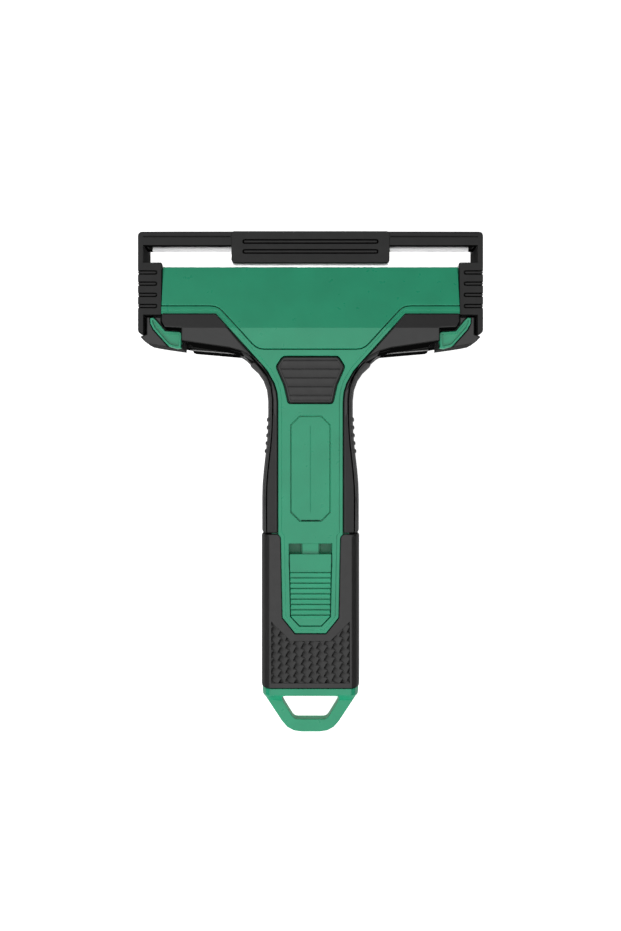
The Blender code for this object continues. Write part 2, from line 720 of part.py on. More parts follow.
def clamp_plate(look):
    pocket_floor = BASE_HIGH + FIT_GAP
    plate = prism("clamp_plate", panel_outline(), pocket_floor, FRONT_HEIGHT)
    wide = block("clamp_front", -HEAD_HALF, HEAD_HALF, PANEL_SHOULDER_Y, HEAD_FRONT_Y,
                 CLAMP_LOW, pocket_floor + FIT_GAP)
    flange = block("clamp_flange", -SIDE_HALF, SIDE_HALF, PANEL_SHOULDER_Y, HEAD_FRONT_Y,
                   CLAMP_LOW, FLANGE_HIGH)
    fuse(plate, wide, flange)
    cut(plate, front_slope("clamp_slope"))
    thread_room = SCREW_RADIUS + FIT_GAP
    cut(plate, *bores("clamp_bore", clamp_screw_places(), thread_room,
                      pocket_floor - OVERRUN, SCREW_HIGH + FIT_GAP))
    return finish(plate, look)


def band_right(grow=0.0):
    """The green front's right edge, from the tongue's end to the head, moved outwards by grow."""
    tongue_end_y = SEAM_Y - TONGUE_LENGTH
    strip_y = PANEL_FOOT_Y - STRIP_START_DROP
    right = [(TONGUE_END_HALF, tongue_end_y), (TONGUE_FOOT_HALF, tongue_end_y + TONGUE_CHAMFER)]
    right += [(TONGUE_HALF, SEAM_Y - SEAM_STEP), (STRIP_HALF, SEAM_Y), (STRIP_HALF, strip_y)]
    rise = BAND_LOW_Y - strip_y
    reach = BAND_CORNER_HALF - STRIP_HALF
    for out_share, up_share in BAND_NECK_SHARES:
        right.append((STRIP_HALF + reach * out_share, strip_y + rise * up_share))
    right += [(BAND_CORNER_HALF, BAND_LOW_Y), (HEAD_HALF, BAND_LOW_Y)]
    if not grow:
        return right + [(HEAD_HALF, BAND_HIGH_Y)]
    wide = inset(both_sides(right + [(HEAD_HALF, HEAD_FRONT_Y)]), -grow)
    return [point for point in wide if point[0] > 0 and point[1] < HEAD_FRONT_Y]


def base_outline(grow=0.0):
    """The hidden plate that the black covers lie on."""
    right = side_curve(BASE_INSET, SLEEVE_END_Y + FIT_GAP)
    inner = SHOULDER_HALF - BASE_INSET
    right[-1] = (inner, right[-1][1])
    right.append((inner, BAND_LOW_Y))
    return inset(both_sides(right), -grow)


def button_outline(grow=0.0, lift=0.0):
    """The slide button in plan: a long plate with a chamfered low end."""
    top_y = button_top_y() + lift
    low_y = top_y - BUTTON_LENGTH
    right = [(BUTTON_END_HALF, low_y), (BUTTON_FOOT_HALF, low_y + BUTTON_CHAMFER)]
    right.append((BUTTON_HALF, top_y))
    return inset(both_sides(right), -grow)


def button_top_y():
    return SEAM_Y - RECESS_DROP - BUTTON_TRAVEL - FIT_GAP


def octagon_outline():
    low_y = SEAM_Y + OCTAGON_ABOVE_SEAM
    high_y = PAD_FOOT_Y - OCTAGON_BELOW_PAD
    narrow = OCTAGON_HALF - OCTAGON_CHAMFER
    right = [(narrow, low_y), (OCTAGON_HALF, low_y + OCTAGON_CHAMFER)]
    right += [(OCTAGON_HALF, high_y - OCTAGON_CHAMFER), (narrow, high_y)]
    return both_sides(right)


def pad_outline(grow=0.0):
    """The thumb pad in plan: wide near its top and drawn in below."""
    wide_y = PAD_TOP_Y - PAD_LENGTH * PAD_WIDE_SHARE
    waist_y = PAD_TOP_Y - PAD_LENGTH * PAD_WAIST_SHARE
    right = [(PAD_FOOT_HALF, PAD_FOOT_Y), (PAD_WAIST_HALF, waist_y)]
    right += [(PAD_WIDE_HALF, wide_y), (PAD_TOP_HALF, PAD_TOP_Y)]
    return inset(rounded_sides(right, [PAD_ROUND] * len(right)), -grow)


def front_shell(look):
    shell = prism("front_shell", base_outline(), BASE_LOW, BASE_HIGH)
    inner = SHOULDER_HALF - BASE_INSET
    head = block("front_head", -inner, inner, CORE_STEP_Y + FIT_GAP, BAND_HIGH_Y,
                 BLADE_LOW, BASE_HIGH)
    band = block("front_band", -HEAD_HALF, HEAD_HALF, BAND_LOW_Y, BAND_HIGH_Y,
                 BLADE_LOW, BASE_HIGH)
    green = prism("front_green", both_sides(band_right()), BASE_LOW, FRONT_HEIGHT)
    fuse(shell, head, band, green)

    pocket = prism("front_pocket", panel_outline(FIT_GAP), BASE_HIGH, FRONT_HEIGHT + OVERRUN)
    pad_pocket = prism("front_pad_pocket", pad_outline(FIT_GAP), BASE_HIGH, FRONT_HEIGHT + OVERRUN)
    logo_place = prism("front_octagon", octagon_outline(), FRONT_HEIGHT - OCTAGON_DEPTH,
                       FRONT_HEIGHT + OVERRUN)
    cut(shell, front_slope("front_slope"), pocket, pad_pocket, logo_place)

    floor = FRONT_HEIGHT - BUTTON_THICKNESS - FIT_GAP
    recess = prism("front_recess", button_outline(FIT_GAP), floor, FRONT_HEIGHT + OVERRUN)
    recess_top_y = SEAM_Y - RECESS_DROP
    wide = BUTTON_HALF + FIT_GAP
    notch = block("front_notch", -wide, wide, button_top_y() - OVERRUN, recess_top_y,
                  floor, FRONT_HEIGHT + OVERRUN)
    neck_room = BUTTON_NECK_HALF + FIT_GAP
    neck_end_y = button_top_y() + BUTTON_NECK_LENGTH
    tunnel = block("front_tunnel", -neck_room, neck_room, button_top_y(),
                   neck_end_y + BUTTON_TRAVEL + FIT_GAP,
                   floor, floor + BUTTON_NECK_THICKNESS + 2 * FIT_GAP)
    spring_z = floor + FIT_GAP + BUTTON_NECK_THICKNESS / 2
    spring_room = block("front_spring_room", -SPRING_ROOM_RADIUS, SPRING_ROOM_RADIUS, button_top_y(),
                        neck_end_y + SPRING_LENGTH + 2 * FIT_GAP,
                        spring_z - SPRING_ROOM_RADIUS, spring_z + SPRING_ROOM_RADIUS)
    leg_y = button_leg_y()
    leg_room = BUTTON_LEG_HALF + FIT_GAP
    leg_slot = block("front_leg_slot", -leg_room, leg_room, leg_y - FIT_GAP,
                     leg_y + BUTTON_LEG_WIDTH + BUTTON_TRAVEL + FIT_GAP, BASE_LOW - OVERRUN,
                     floor + OVERRUN)
    cut(shell, recess, notch, tunnel, spring_room, leg_slot)
    thread_room = SCREW_RADIUS + FIT_GAP
    cut(shell, *bores("front_clamp_bore", clamp_screw_places(), thread_room,
                      BLADE_LOW - OVERRUN, BASE_HIGH + OVERRUN / 2))
    cut(shell, *bores("front_shell_bore", shell_screw_places(), thread_room,
                      BASE_LOW - OVERRUN, SCREW_HIGH + FIT_GAP))
    return finish(shell, look)


def button_leg_y():
    """The low side of the button's latch leg."""
    return button_top_y() - BUTTON_LEG_DROP


def wings(look):
    """Black covers on the front, from the head's shoulders down to the seam."""
    inner = band_right(FIT_GAP)
    inner = [point for point in inner if point[1] > SEAM_Y + 2 * FIT_GAP]
    inner = [(STRIP_HALF + FIT_GAP, SEAM_Y + FIT_GAP)] + [p for p in inner if p[0] < HEAD_HALF]
    wide = HEAD_HALF - FIT_GAP
    tab_edge = LEVER_INNER_HALF - FIT_GAP
    cut_half = tab_edge + (wide - tab_edge) * WING_CUT_SHARE
    around_tab = [(wide, CORNER_Y), (wide, (CREASE_Y + CORNER_Y) / 2)]
    around_tab += [(cut_half, CREASE_Y + FIT_GAP), (tab_edge, CREASE_Y)]
    outer = list(reversed(side_curve(CORE_INSET, SEAM_Y + FIT_GAP)))
    outer[0] = (tab_edge, outer[0][1])
    outline = inner + around_tab + outer
    made = []
    for sign, side in ((-1, "left"), (1, "right")):
        points = [(sign * x, y) for x, y in outline]
        wing = prism(f"{side}_wing", points, BASE_LOW, FRONT_HEIGHT, high_chamfer=FIT_GAP)
        room = prism(f"{side}_wing_room", base_outline(FIT_GAP), BASE_LOW - OVERRUN,
                     BASE_HIGH + FIT_GAP)
        near, far = side_span(sign, SHOULDER_HALF - FIT_GAP, GUARD_HALF + OVERRUN)
        tab_room = block(f"{side}_wing_tab_room", near, far, PANEL_FOOT_Y - OVERRUN,
                         CORNER_Y + OVERRUN, BASE_LOW - OVERRUN, BASE_HIGH + FIT_GAP)
        cut(wing, room, tab_room, front_slope(f"{side}_wing_slope"))
        use_manifold_solver(wing)
        made.append(finish(wing, look))
    return made


def grip_path():
    """The side grip's path up the handle's side, with the ridges' places marked."""
    low_y = SEAM_Y + FIT_GAP
    high_y = neck_rim()[0][1] - FIT_GAP
    whole = side_curve(0.0, low_y)
    plain = [point for point in whole if point[1] < high_y]
    x0, y0 = plain[-1]
    x1, y1 = whole[len(plain)]
    plain.append((x0 + (x1 - x0) * (high_y - y0) / (y1 - y0), high_y))
    ridge_top = NECK_Y - RIDGE_BELOW_NECK
    marks = []
    for number in reversed(range(RIDGES)):
        middle = ridge_top - RIDGE_PITCH * number
        half = RIDGE_WIDTH / 2
        for place_share, proud_share in RIDGE_SHARES:
            marks.append((middle + half * place_share, RIDGE_PROUD * proud_share))
    path = []
    ridge_end = marks[-1][0]
    for x, y in plain:
        if y < marks[0][0] - RIDGE_WIDTH or y > ridge_end + RIDGE_WIDTH:
            path.append((x, y, 0.0))
    for y, proud in marks:
        for (x0, y0), (x1, y1) in zip(plain, plain[1:]):
            if y0 <= y < y1:
                path.append((x0 + (x1 - x0) * (y - y0) / (y1 - y0), y, proud))
    path.sort(key=lambda place: place[1])
    return path


def side_grips(look):
    """Soft side covers with finger ridges."""
    path = grip_path()
    low = BACK_PLATE + FIT_GAP
    high = FRONT_HEIGHT - GRIP_WALL
    shape = [(GRIP_WALL * out, low + (high - low) * up) for out, up in GRIP_SECTION_SHARES]
    made = []
    for sign, side in ((-1, "left"), (1, "right")):
        rings = []
        for index, (x, y, proud) in enumerate(path):
            x0, y0, _ = path[max(index - 1, 0)]
            x1, y1, _ = path[min(index + 1, len(path) - 1)]
            length = math.hypot(x1 - x0, y1 - y0)
            out_x = (y1 - y0) / length
            out_y = -(x1 - x0) / length
            if index in (0, len(path) - 1):
                out_x, out_y = length / (y1 - y0), 0.0
            ring = []
            for (out, z), share in zip(shape, GRIP_PROUD_SHARES):
                reach = out + proud * share
                ring.append((sign * (x + out_x * reach), y + out_y * reach, z))
            rings.append(ring)
        made.append(finish(loft(f"{side}_side_grip", rings), look, smooth=True))
    return made


def thumb_pad(look):
    high = FRONT_HEIGHT + PAD_PROUD
    pad = prism("thumb_pad", pad_outline(), BASE_HIGH + FIT_GAP, high, high_chamfer=PAD_PROUD)
    for number in range(PAD_GROOVES):
        y = PAD_TOP_Y - PAD_GROOVE_START - PAD_GROOVE_PITCH * number
        cut(pad, block(f"pad_groove_{number}", -PAD_FOOT_HALF, PAD_FOOT_HALF,
                       y - PAD_GROOVE_WIDTH, y, high - PAD_GROOVE_DEPTH, high + OVERRUN))
    return finish(pad, look)


def lower_sleeve(look):
    """The textured sleeve round the handle's low end, open in front for the tongue."""
    sleeve = along("lower_sleeve", handle_section(HANDLE_HALF), SLEEVE_END_Y, SEAM_Y - FIT_GAP)
    bore = along("sleeve_bore", handle_section(HANDLE_HALF, GRIP_WALL), SLEEVE_END_Y - OVERRUN,
                 SEAM_Y + OVERRUN)
    right = [point for point in band_right(FIT_GAP) if point[1] < SEAM_Y]
    right.append((STRIP_HALF + FIT_GAP, SEAM_Y + OVERRUN))
    window = prism("sleeve_window", both_sides(right), BASE_LOW, FRONT_HEIGHT + OVERRUN)
    cut(sleeve, bore, window)
    return finish(sleeve, look, smooth=True)


def blade_tray(look):
    """End cap, hanging loop, tray and catch arm in one moulding."""
    tray = block("blade_tray", -TRAY_HALF, TRAY_HALF, CAP_EDGE_Y, TRAY_END_Y, TRAY_LOW, TRAY_HIGH)
    room_half = TRAY_HALF - TRAY_WALL
    room = block("tray_room", -room_half, room_half, CAP_TOP_Y + TRAY_WALL, TRAY_END_Y - TRAY_WALL,
                 TRAY_LOW + TRAY_FLOOR, TRAY_HIGH + OVERRUN)
    loop_low = TRAY_HIGH - LOOP_THICKNESS
    full = handle_section(HANDLE_HALF, CAP_LIP)
    foot_width_share = HANDLE_HALF / (HANDLE_HALF - CAP_LIP)
    foot_high = TRAY_HIGH + (FRONT_HEIGHT - TRAY_HIGH) * CAP_FOOT_RISE_SHARE
    end_share = 1 - CAP_RUN_OUT / LOOP_LENGTH * (1 - LOOP_END_HALF / HANDLE_HALF)
    cap_rings = []
    for y, width_share, z0, z1 in (
        (CAP_TOP_Y, 1.0, CAP_LIP, FRONT_HEIGHT - CAP_LIP),
        (CAP_EDGE_Y, 1.0, CAP_LIP, FRONT_HEIGHT - CAP_LIP),
        (CAP_FOOT_Y, foot_width_share, loop_low / 2, foot_high),
        (CAP_FOOT_Y - CAP_RUN_OUT, foot_width_share * end_share, loop_low, TRAY_HIGH),
    ):
        scale = (z1 - z0) / (FRONT_HEIGHT - 2 * CAP_LIP)
        cap_rings.append([(x * width_share, y, z0 + (z - CAP_LIP) * scale) for x, z in full])
    cap = loft("tray_cap", cap_rings)
    loop_right = [(LOOP_END_HALF, END_Y), (HANDLE_HALF, CAP_FOOT_Y)]
    loop_right.append((HANDLE_HALF, CAP_FOOT_Y + CAP_SLOPE / 2))
    loop_outline = rounded_sides(loop_right, (LOOP_CORNER_ROUND, 0.0, 0.0))
    loop = prism("tray_loop", loop_outline, loop_low, TRAY_HIGH)
    catch_high = catch_high_z()
    catch = block("tray_catch", -CATCH_HALF, CATCH_HALF, CAP_EDGE_Y,
                  button_leg_y() + CATCH_OVERLAP, catch_high - CATCH_THICKNESS, catch_high)
    hole_right = [(HOLE_END_HALF, END_Y + HOLE_END_INSET), (HOLE_TOP_HALF, END_Y + HOLE_SLOPE_INSET)]
    hole_right.append((HOLE_TOP_HALF, END_Y + HOLE_TOP_INSET))
    hole_outline = rounded_sides(hole_right, [HOLE_ROUND] * len(hole_right))
    hole = prism("tray_hole", hole_outline, -OVERRUN, FRONT_HEIGHT)
    cut(tray, room)
    fuse(tray, cap, loop, catch)
    cut(tray, hole)
    use_manifold_solver(tray)
    return finish(tray, look)


def catch_high_z():
    """Top of the tray's catch arm, just under the button's leg."""
    return FRONT_HEIGHT - BUTTON_THICKNESS - BUTTON_LEG_LENGTH - FIT_GAP


def latch_button(look):
    low = FRONT_HEIGHT - BUTTON_THICKNESS
    button = prism("latch_button", button_outline(), low, FRONT_HEIGHT)
    top_y = button_top_y()
    neck = block("button_neck", -BUTTON_NECK_HALF, BUTTON_NECK_HALF, top_y - BUTTON_CHAMFER,
                 top_y + BUTTON_NECK_LENGTH, low, low + BUTTON_NECK_THICKNESS)
    leg_y = button_leg_y()
    leg = block("button_leg", -BUTTON_LEG_HALF, BUTTON_LEG_HALF, leg_y, leg_y + BUTTON_LEG_WIDTH,
                low - BUTTON_LEG_LENGTH, low + BUTTON_NECK_THICKNESS)
    fuse(button, neck, leg)
    for number in range(BUTTON_RIBS):
        y = top_y - BUTTON_RIB_START - BUTTON_RIB_PITCH * number
        half = BUTTON_FOOT_HALF - FIT_GAP
        profile = [(y, FRONT_HEIGHT - BUTTON_RIB_PROUD), (y, FRONT_HEIGHT + BUTTON_RIB_PROUD)]
        profile.append((y - BUTTON_RIB_WIDTH, FRONT_HEIGHT - BUTTON_RIB_PROUD))
        fuse(button, across(f"button_rib_{number}", profile, half))
    return finish(button, look)


def button_spring(look):
    """A small compression spring above the button's neck."""
    low_y = button_top_y() + BUTTON_NECK_LENGTH + FIT_GAP
    wire = SPRING_WIRE / 2
    reach = SPRING_LENGTH - SPRING_WIRE
    count = SPRING_TURNS * SPRING_POINTS_A_TURN
    axis_z = FRONT_HEIGHT - BUTTON_THICKNESS + BUTTON_NECK_THICKNESS / 2
    curve = bpy.data.curves.new("button_spring", "CURVE")
    curve.dimensions = "3D"
    curve.bevel_depth = wire
    curve.bevel_resolution = 1
    curve.use_fill_caps = True
    line = curve.splines.new("POLY")
    line.points.add(count)
    for number, point in enumerate(line.points):
        turn = 2 * math.pi * number / SPRING_POINTS_A_TURN
        x = SPRING_RADIUS * math.cos(turn)
        z = axis_z + SPRING_RADIUS * math.sin(turn)
        point.co = (x, low_y + wire + reach * number / count, z, 1.0)
    spring = bpy.data.objects.new("button_spring", curve)
    bpy.context.scene.collection.objects.link(spring)
    curve.materials.append(look)
    return spring


def lever_point(out_share, up_share):
    """A point of the right corner lever, as shares of its width and length."""
    foot_y = PANEL_FOOT_Y - FIT_GAP
    top_y = CORNER_Y - FIT_GAP
    x = LEVER_INNER_HALF + (LEVER_OUTER_HALF - LEVER_INNER_HALF) * out_share
    return x, foot_y + (top_y - foot_y) * up_share


def lever_outline():
    """The right corner lever in plan."""
    nose_y = lever_point(0.0, LEVER_NOSE_SHARE)[1]
    foot = [lever_point(*shares) for shares in LEVER_SHARES]
    corner = [lever_point(*shares) for shares in LEVER_CORNER_SHARES]
    return foot + [(LEVER_NOSE_HALF, nose_y)] + corner


def tab_outline():
    """The right lever's green tab in plan."""
    return [lever_point(*shares) for shares in TAB_SHARES]


def levers(black, green, steel):
    """Corner levers with their tabs and pivot pins."""
    made = []
    tab_low = LEVER_HIGH + TAB_PROUD - TAB_THICKNESS
    tab_high = LEVER_HIGH + TAB_PROUD
    for (pivot_x, pivot_y), side in zip(lever_pivots(), ("left", "right")):
        sign = math.copysign(1, pivot_x)
        outline = [(sign * x, y) for x, y in lever_outline()]
        tab_points = [(sign * x, y) for x, y in tab_outline()]
        lever = prism(f"{side}_latch", outline, LEVER_LOW, LEVER_HIGH, high_chamfer=FIT_GAP)
        pocket = prism(f"{side}_latch_pocket", inset(tab_points, -FIT_GAP), tab_low - FIT_GAP,
                       LEVER_HIGH + OVERRUN)
        hole = turned(f"{side}_latch_hole", pivot_x, pivot_y,
                      ((PIN_RADIUS + FIT_GAP, LEVER_LOW - OVERRUN),
                       (PIN_RADIUS + FIT_GAP, PIN_HIGH + FIT_GAP)))
        cut(lever, pocket, hole)
        apply_shape(lever)
        for tool in (pocket, hole):
            bpy.data.objects.remove(tool)
        move_origin(lever, pivot_x, pivot_y, LEVER_LOW)
        tab = prism(f"{side}_latch_tab", tab_points, tab_low, tab_high)
        dish = prism(f"{side}_tab_dish", inset(tab_points, TAB_RIM), tab_high - TAB_DISH,
                     tab_high + OVERRUN)
        cut(tab, dish)
        pin = turned(f"{side}_latch_pin", pivot_x, pivot_y,
                     ((PIN_RADIUS, PIN_LOW), (PIN_RADIUS, PIN_HIGH)))
        made += [finish(lever, black), finish(tab, green), finish(pin, steel, smooth=True)]
    return made


def blade_guard(look):
    """A frame pushed over the head: bar, arms, finger blocks, rails and slotted pad."""
    arm_end_y = CREASE_Y - GUARD_ARM_BELOW_CREASE
    bar_y = GUARD_FRONT_Y - GUARD_BAR_WIDTH
    rail_high = JAW_LOW - FIT_GAP
    rail_low = rail_high - GUARD_RAIL_THICKNESS
    frame = rounded_rectangle(-GUARD_HALF, GUARD_HALF, arm_end_y, GUARD_FRONT_Y, GUARD_CORNER_ROUND)
    guard = prism("blade_guard", frame, rail_low, GUARD_HIGH, high_chamfer=FIT_GAP)
    hollow = block("guard_hollow", -GUARD_INNER_HALF, GUARD_INNER_HALF, arm_end_y - OVERRUN, bar_y,
                   rail_low - OVERRUN, GUARD_HIGH + OVERRUN)
    under = block("guard_under", -GUARD_INNER_HALF, GUARD_INNER_HALF, arm_end_y - OVERRUN,
                  GUARD_FRONT_Y + OVERRUN, rail_low - OVERRUN, GUARD_HIGH - GUARD_BAR_DEPTH)
    edge_room = FIT_GAP + GUARD_EDGE_ROOM
    slot = block("guard_edge_slot", -SIDE_HALF - edge_room, SIDE_HALF + edge_room, bar_y - OVERRUN,
                 BLADE_EDGE_Y + GUARD_EDGE_ROOM, BLADE_LOW - edge_room, BLADE_HIGH + edge_room)
    cut(guard, hollow, under, slot)

    block_high_y = GUARD_FRONT_Y - GUARD_BLOCK_SETBACK
    for sign, side in ((-1, "left"), (1, "right")):
        near, far = side_span(sign, GUARD_BLOCK_HALF, GUARD_INNER_HALF + GUARD_WALL / 2)
        upper = block(f"guard_block_{side}", near, far, BAND_LOW_Y, block_high_y,
                      FLANGE_HIGH + FIT_GAP, GUARD_HIGH)
        rail = block(f"guard_rail_{side}", near, far, BAND_LOW_Y, block_high_y, rail_low, rail_high)
        fuse(guard, upper, rail)
    pad_plan = rounded_rectangle(-GUARD_PAD_HALF, GUARD_PAD_HALF, block_high_y, GUARD_FRONT_Y,
                                 GUARD_PAD_ROUND)
    fuse(guard, prism("guard_pad", pad_plan, GUARD_HIGH - GUARD_PAD_THICKNESS,
                      GUARD_HIGH + FIT_GAP))
    cut(guard, *guard_grooves(block_high_y))
    return finish(guard, look)


def guard_grooves(block_high_y):
    """Cutters for the pad's slots, the finger blocks' ribs and the line along the bar."""
    floor = GUARD_HIGH - GUARD_RIB_DEPTH
    top = GUARD_HIGH + OVERRUN
    made = []
    for number in range(GUARD_SLOTS):
        y = GUARD_FRONT_Y - GUARD_SLOT_START - GUARD_SLOT_PITCH * number
        half = GUARD_SLOT_WIDTH / 2
        plan = rounded_rectangle(-GUARD_SLOT_HALF, GUARD_SLOT_HALF, y - half, y + half, half)
        made.append(prism(f"guard_slot_{number}", plan, floor, top))
    for sign, side in ((-1, "left"), (1, "right")):
        near, far = side_span(sign, GUARD_BLOCK_HALF + GUARD_RIB_WIDTH, GUARD_HALF + OVERRUN)
        for number in range(GUARD_RIBS):
            y = block_high_y - GUARD_RIB_START - GUARD_RIB_PITCH * number
            half = GUARD_RIB_WIDTH / 2
            plan = rounded_rectangle(near, far, y - half, y + half, half)
            made.append(prism(f"guard_rib_{side}_{number}", plan, floor, top))
        near, far = side_span(sign, GUARD_PAD_HALF + FIT_GAP, GUARD_INNER_HALF)
        line_y = GUARD_FRONT_Y - GUARD_LIP_WIDTH
        made.append(block(f"guard_line_{side}", near, far, line_y - GUARD_LINE_WIDTH, line_y,
                          GUARD_HIGH - GUARD_LINE_DEPTH, top))
    return made


def screws(name, places, seat, look):
    """Pan-head screws driven from the back."""
    head_high = seat - FIT_GAP
    head_low = head_high - SCREW_HEAD_THICKNESS
    levels = [(SCREW_SOCKET_RADIUS, head_low + SCREW_SOCKET_DEPTH), (SCREW_SOCKET_RADIUS, head_low)]
    levels += [(SCREW_HEAD_RADIUS, head_low), (SCREW_HEAD_RADIUS, head_high)]
    levels += [(SCREW_RADIUS, head_high), (SCREW_RADIUS, SCREW_HIGH)]
    for number, (x, y) in enumerate(places):
        finish(turned(f"{name}_{number + 1}", x, y, levels), look, smooth=True)


def main():
    clear_scene()
    green = material("green_plastic", GREEN, GREEN_ROUGHNESS)
    black = material("black_plastic", BLACK, BLACK_ROUGHNESS)
    rubber = material("black_rubber", RUBBER_BLACK, RUBBER_ROUGHNESS)
    steel = material("blade_steel", STEEL, STEEL_ROUGHNESS, metallic=1.0)
    rear_shell(black)
    jaw_frame(black)
    blades(steel)
    clamp_plate(green)
    front_shell(green)
    wings(black)
    side_grips(rubber)
    thumb_pad(rubber)
    lower_sleeve(rubber)
    blade_tray(green)
    latch_button(green)
    button_spring(steel)
    levers(black, green, steel)
    blade_guard(black)
    screws("clamp_screw", clamp_screw_places(), CLAMP_SCREW_SINK, steel)
    screws("shell_screw", shell_screw_places(), SHELL_SCREW_SINK, steel)


main()
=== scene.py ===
"""Looks for the cleaning scraper: finishes, soft edges and fine relief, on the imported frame."""

import json
import math

import bmesh
import bpy
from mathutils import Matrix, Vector, geometry


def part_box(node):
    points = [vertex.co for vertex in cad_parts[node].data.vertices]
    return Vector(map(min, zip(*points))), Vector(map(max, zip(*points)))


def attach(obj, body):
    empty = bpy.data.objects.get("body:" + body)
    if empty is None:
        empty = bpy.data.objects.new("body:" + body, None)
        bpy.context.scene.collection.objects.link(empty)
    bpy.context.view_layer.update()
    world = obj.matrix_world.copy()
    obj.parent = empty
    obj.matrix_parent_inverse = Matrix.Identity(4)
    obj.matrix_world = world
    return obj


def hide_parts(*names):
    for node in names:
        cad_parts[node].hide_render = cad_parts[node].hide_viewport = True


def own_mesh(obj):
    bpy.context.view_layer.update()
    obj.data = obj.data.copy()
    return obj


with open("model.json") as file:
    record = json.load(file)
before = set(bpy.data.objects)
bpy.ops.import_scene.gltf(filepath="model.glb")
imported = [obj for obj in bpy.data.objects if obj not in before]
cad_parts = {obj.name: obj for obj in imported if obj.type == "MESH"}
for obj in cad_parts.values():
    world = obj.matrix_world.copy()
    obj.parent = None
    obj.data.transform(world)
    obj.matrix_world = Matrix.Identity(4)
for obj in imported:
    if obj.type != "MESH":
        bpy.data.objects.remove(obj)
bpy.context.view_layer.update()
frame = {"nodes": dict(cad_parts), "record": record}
NODES = frame["nodes"]
BODIES = frame["record"]["behaviour"]["bodies"]

# One millimetre in the scene's metres. A line named EDGE lists its right half in millimetres.
MM = 0.001

# Photograph and camera
PHOTO_HEIGHT = 931
FOCAL_PIXELS = 862.7
SENSOR = 36.0
CAMERA_Y = 6.85 * MM
CAMERA_Z = 290 * MM

# Floor, and a wall of flat panels round it
FLOOR_LOW = -0.2 * MM
FLOOR_COLOR = (0.80, 0.80, 0.80, 1.0)
FLOOR_ROUGHNESS = 0.9
FLOOR_GLOW = 0.85
BACKDROP_REACH = 2000 * MM
BACKDROP_LOW = -1 * MM
BACKDROP_HIGH = 3000 * MM
BACKDROP_PANELS = 48
WHITE = (1.0, 1.0, 1.0, 1.0)

# Dome: the direction of its dark side, and how its strength changes softly towards there, with
# the height and below the floor: where the change starts and ends, and the strengths at the two
DARK_POLE = (0.40, 0.917, 0.0)
POLE_STEPS = (0.36, 0.54, 1.10, 0.28)
RISE_STEPS = (0.40, 0.93, 0.02, 1.0)
UNDER_STEPS = (-0.90, -0.35, 0.34, 0.0)

# Lamps: places and widths in metres, powers in watts
LAMP_AIM = (0.0, 0.01, 0.01)
KEY_PLACE = (-0.30, -0.74, 0.50)
KEY_WIDTH = 0.55
KEY_POWER = 4.2
BLADE_LAMP_PLACE = (0.0, 0.07, 0.50)
BLADE_LAMP_WIDTH = 0.15
BLADE_LAMP_POWER = 1.3

# Finishes: the sizes and strengths of their clouds, paler edges (partly wear, partly a painted
# highlight), uneven shine and scratches
CLOUD_SIZE = 9 * MM
CLOUD_DARK = 0.94
CLOUD_LIGHT = 1.05
EDGE_LOOK = 0.20 * MM
EDGE_TURNED = 0.90
EDGE_LEVEL = 0.995
EDGE_SAMPLES = 6
PALE_EDGE_PATCH_SIZE = 1.6 * MM
PALE_EDGE_LEAST = 0.25
SHINE_SIZE = 2.4 * MM
SHINE_DETAIL = 5.0
SHINE_LESS = 0.03
SHINE_MORE = 0.04
GRAIN_STRENGTH = 0.6
MATTE = 0.95
WALL_TILT = 0.5
STEEL_CLOUD_SIZE = 7 * MM
STEEL_CLOUD_DARK = 0.95
STEEL_EDGE_LOOK = 0.10 * MM
SCRATCH_SIZE = 0.12 * MM
SCRATCH_DETAIL = 2.0
SCRATCH_DEPTH = 0.001 * MM
SCRATCH_STRENGTH = 0.5

# Soft edges
WELD = 0.012 * MM
FLAT_ANGLE = math.radians(0.6)
EDGE_ANGLE = math.radians(28)
SMOOTH_ANGLE = math.radians(35)
CREASE_ANGLE = math.radians(12)
CREASED = ("green", "black", "back")
EDGE_STEPS = 2
FINEST_EDGE = 0.10 * MM
FINE_EDGE = 0.12 * MM
SOFT_EDGE = 0.15 * MM
PLATE_EDGE = 0.18 * MM

# Cutters and curves
OVERRUN = 2 * MM
SKIN = 0.02 * MM
ROUND_STEPS = 4

# Green front: its edge in plan, with the two points at the seam, the low border along the edge,
# the octagon, and the button's tunnel and notches
SEAM_Y = -14.2 * MM
CREASE_Y = 49.3 * MM
FRONT_HIGH = 24.0 * MM
HEAD_HIGH = 19.0 * MM
HEAD_FRONT_Y = 69.2 * MM
FRONT_LOW_Y = -56.8 * MM
FRONT_REACH = 60 * MM
STRIP_EDGE = ((4.7, -44.9), (8.6, -40.1), (9.1, -15.2), (9.9, -14.2), (9.9, 26.5), (10.19, 29.53),
              (11.06, 32.28), (13.20, 36.13), (16.11, 39.43), (29.3, 54.0), (60.0, 54.0), (60.0, 75.0))
BELOW_SEAM = 2
ABOVE_SEAM = 3
STRIP_EDGE_NEAR = 0.45 * MM
BORDER_WIDTH = 1.0 * MM
BORDER_DROP = 0.25 * MM
BORDER_REACH = 0.5 * MM
OCTAGON_HALF = 6.2 * MM
OCTAGON_CHAMFER = 2.8 * MM
OCTAGON_LOW_Y = -10.4 * MM
OCTAGON_HIGH_Y = 22.2 * MM
OCTAGON_FLOOR = 23.6 * MM
OCTAGON_LINE = 0.30 * MM
OCTAGON_LINE_DEPTH = 0.30 * MM
MOULD_LINE_HALF = 0.10 * MM
MOULD_LINE_INSET = 3.0 * MM
TUNNEL_HALF = 2.8 * MM
TUNNEL_LOW = 21.5 * MM
TUNNEL_HIGH = 23.6 * MM
TUNNEL_LOW_Y = -18.0 * MM
TUNNEL_HIGH_Y = -10.0 * MM
WELL_INNER = 3.1 * MM
WELL_OUTER = 6.6 * MM
WELL_LOW_Y = -21.2 * MM
WELL_HIGH_Y = -17.3 * MM
WELL_FLOOR = 19.1 * MM

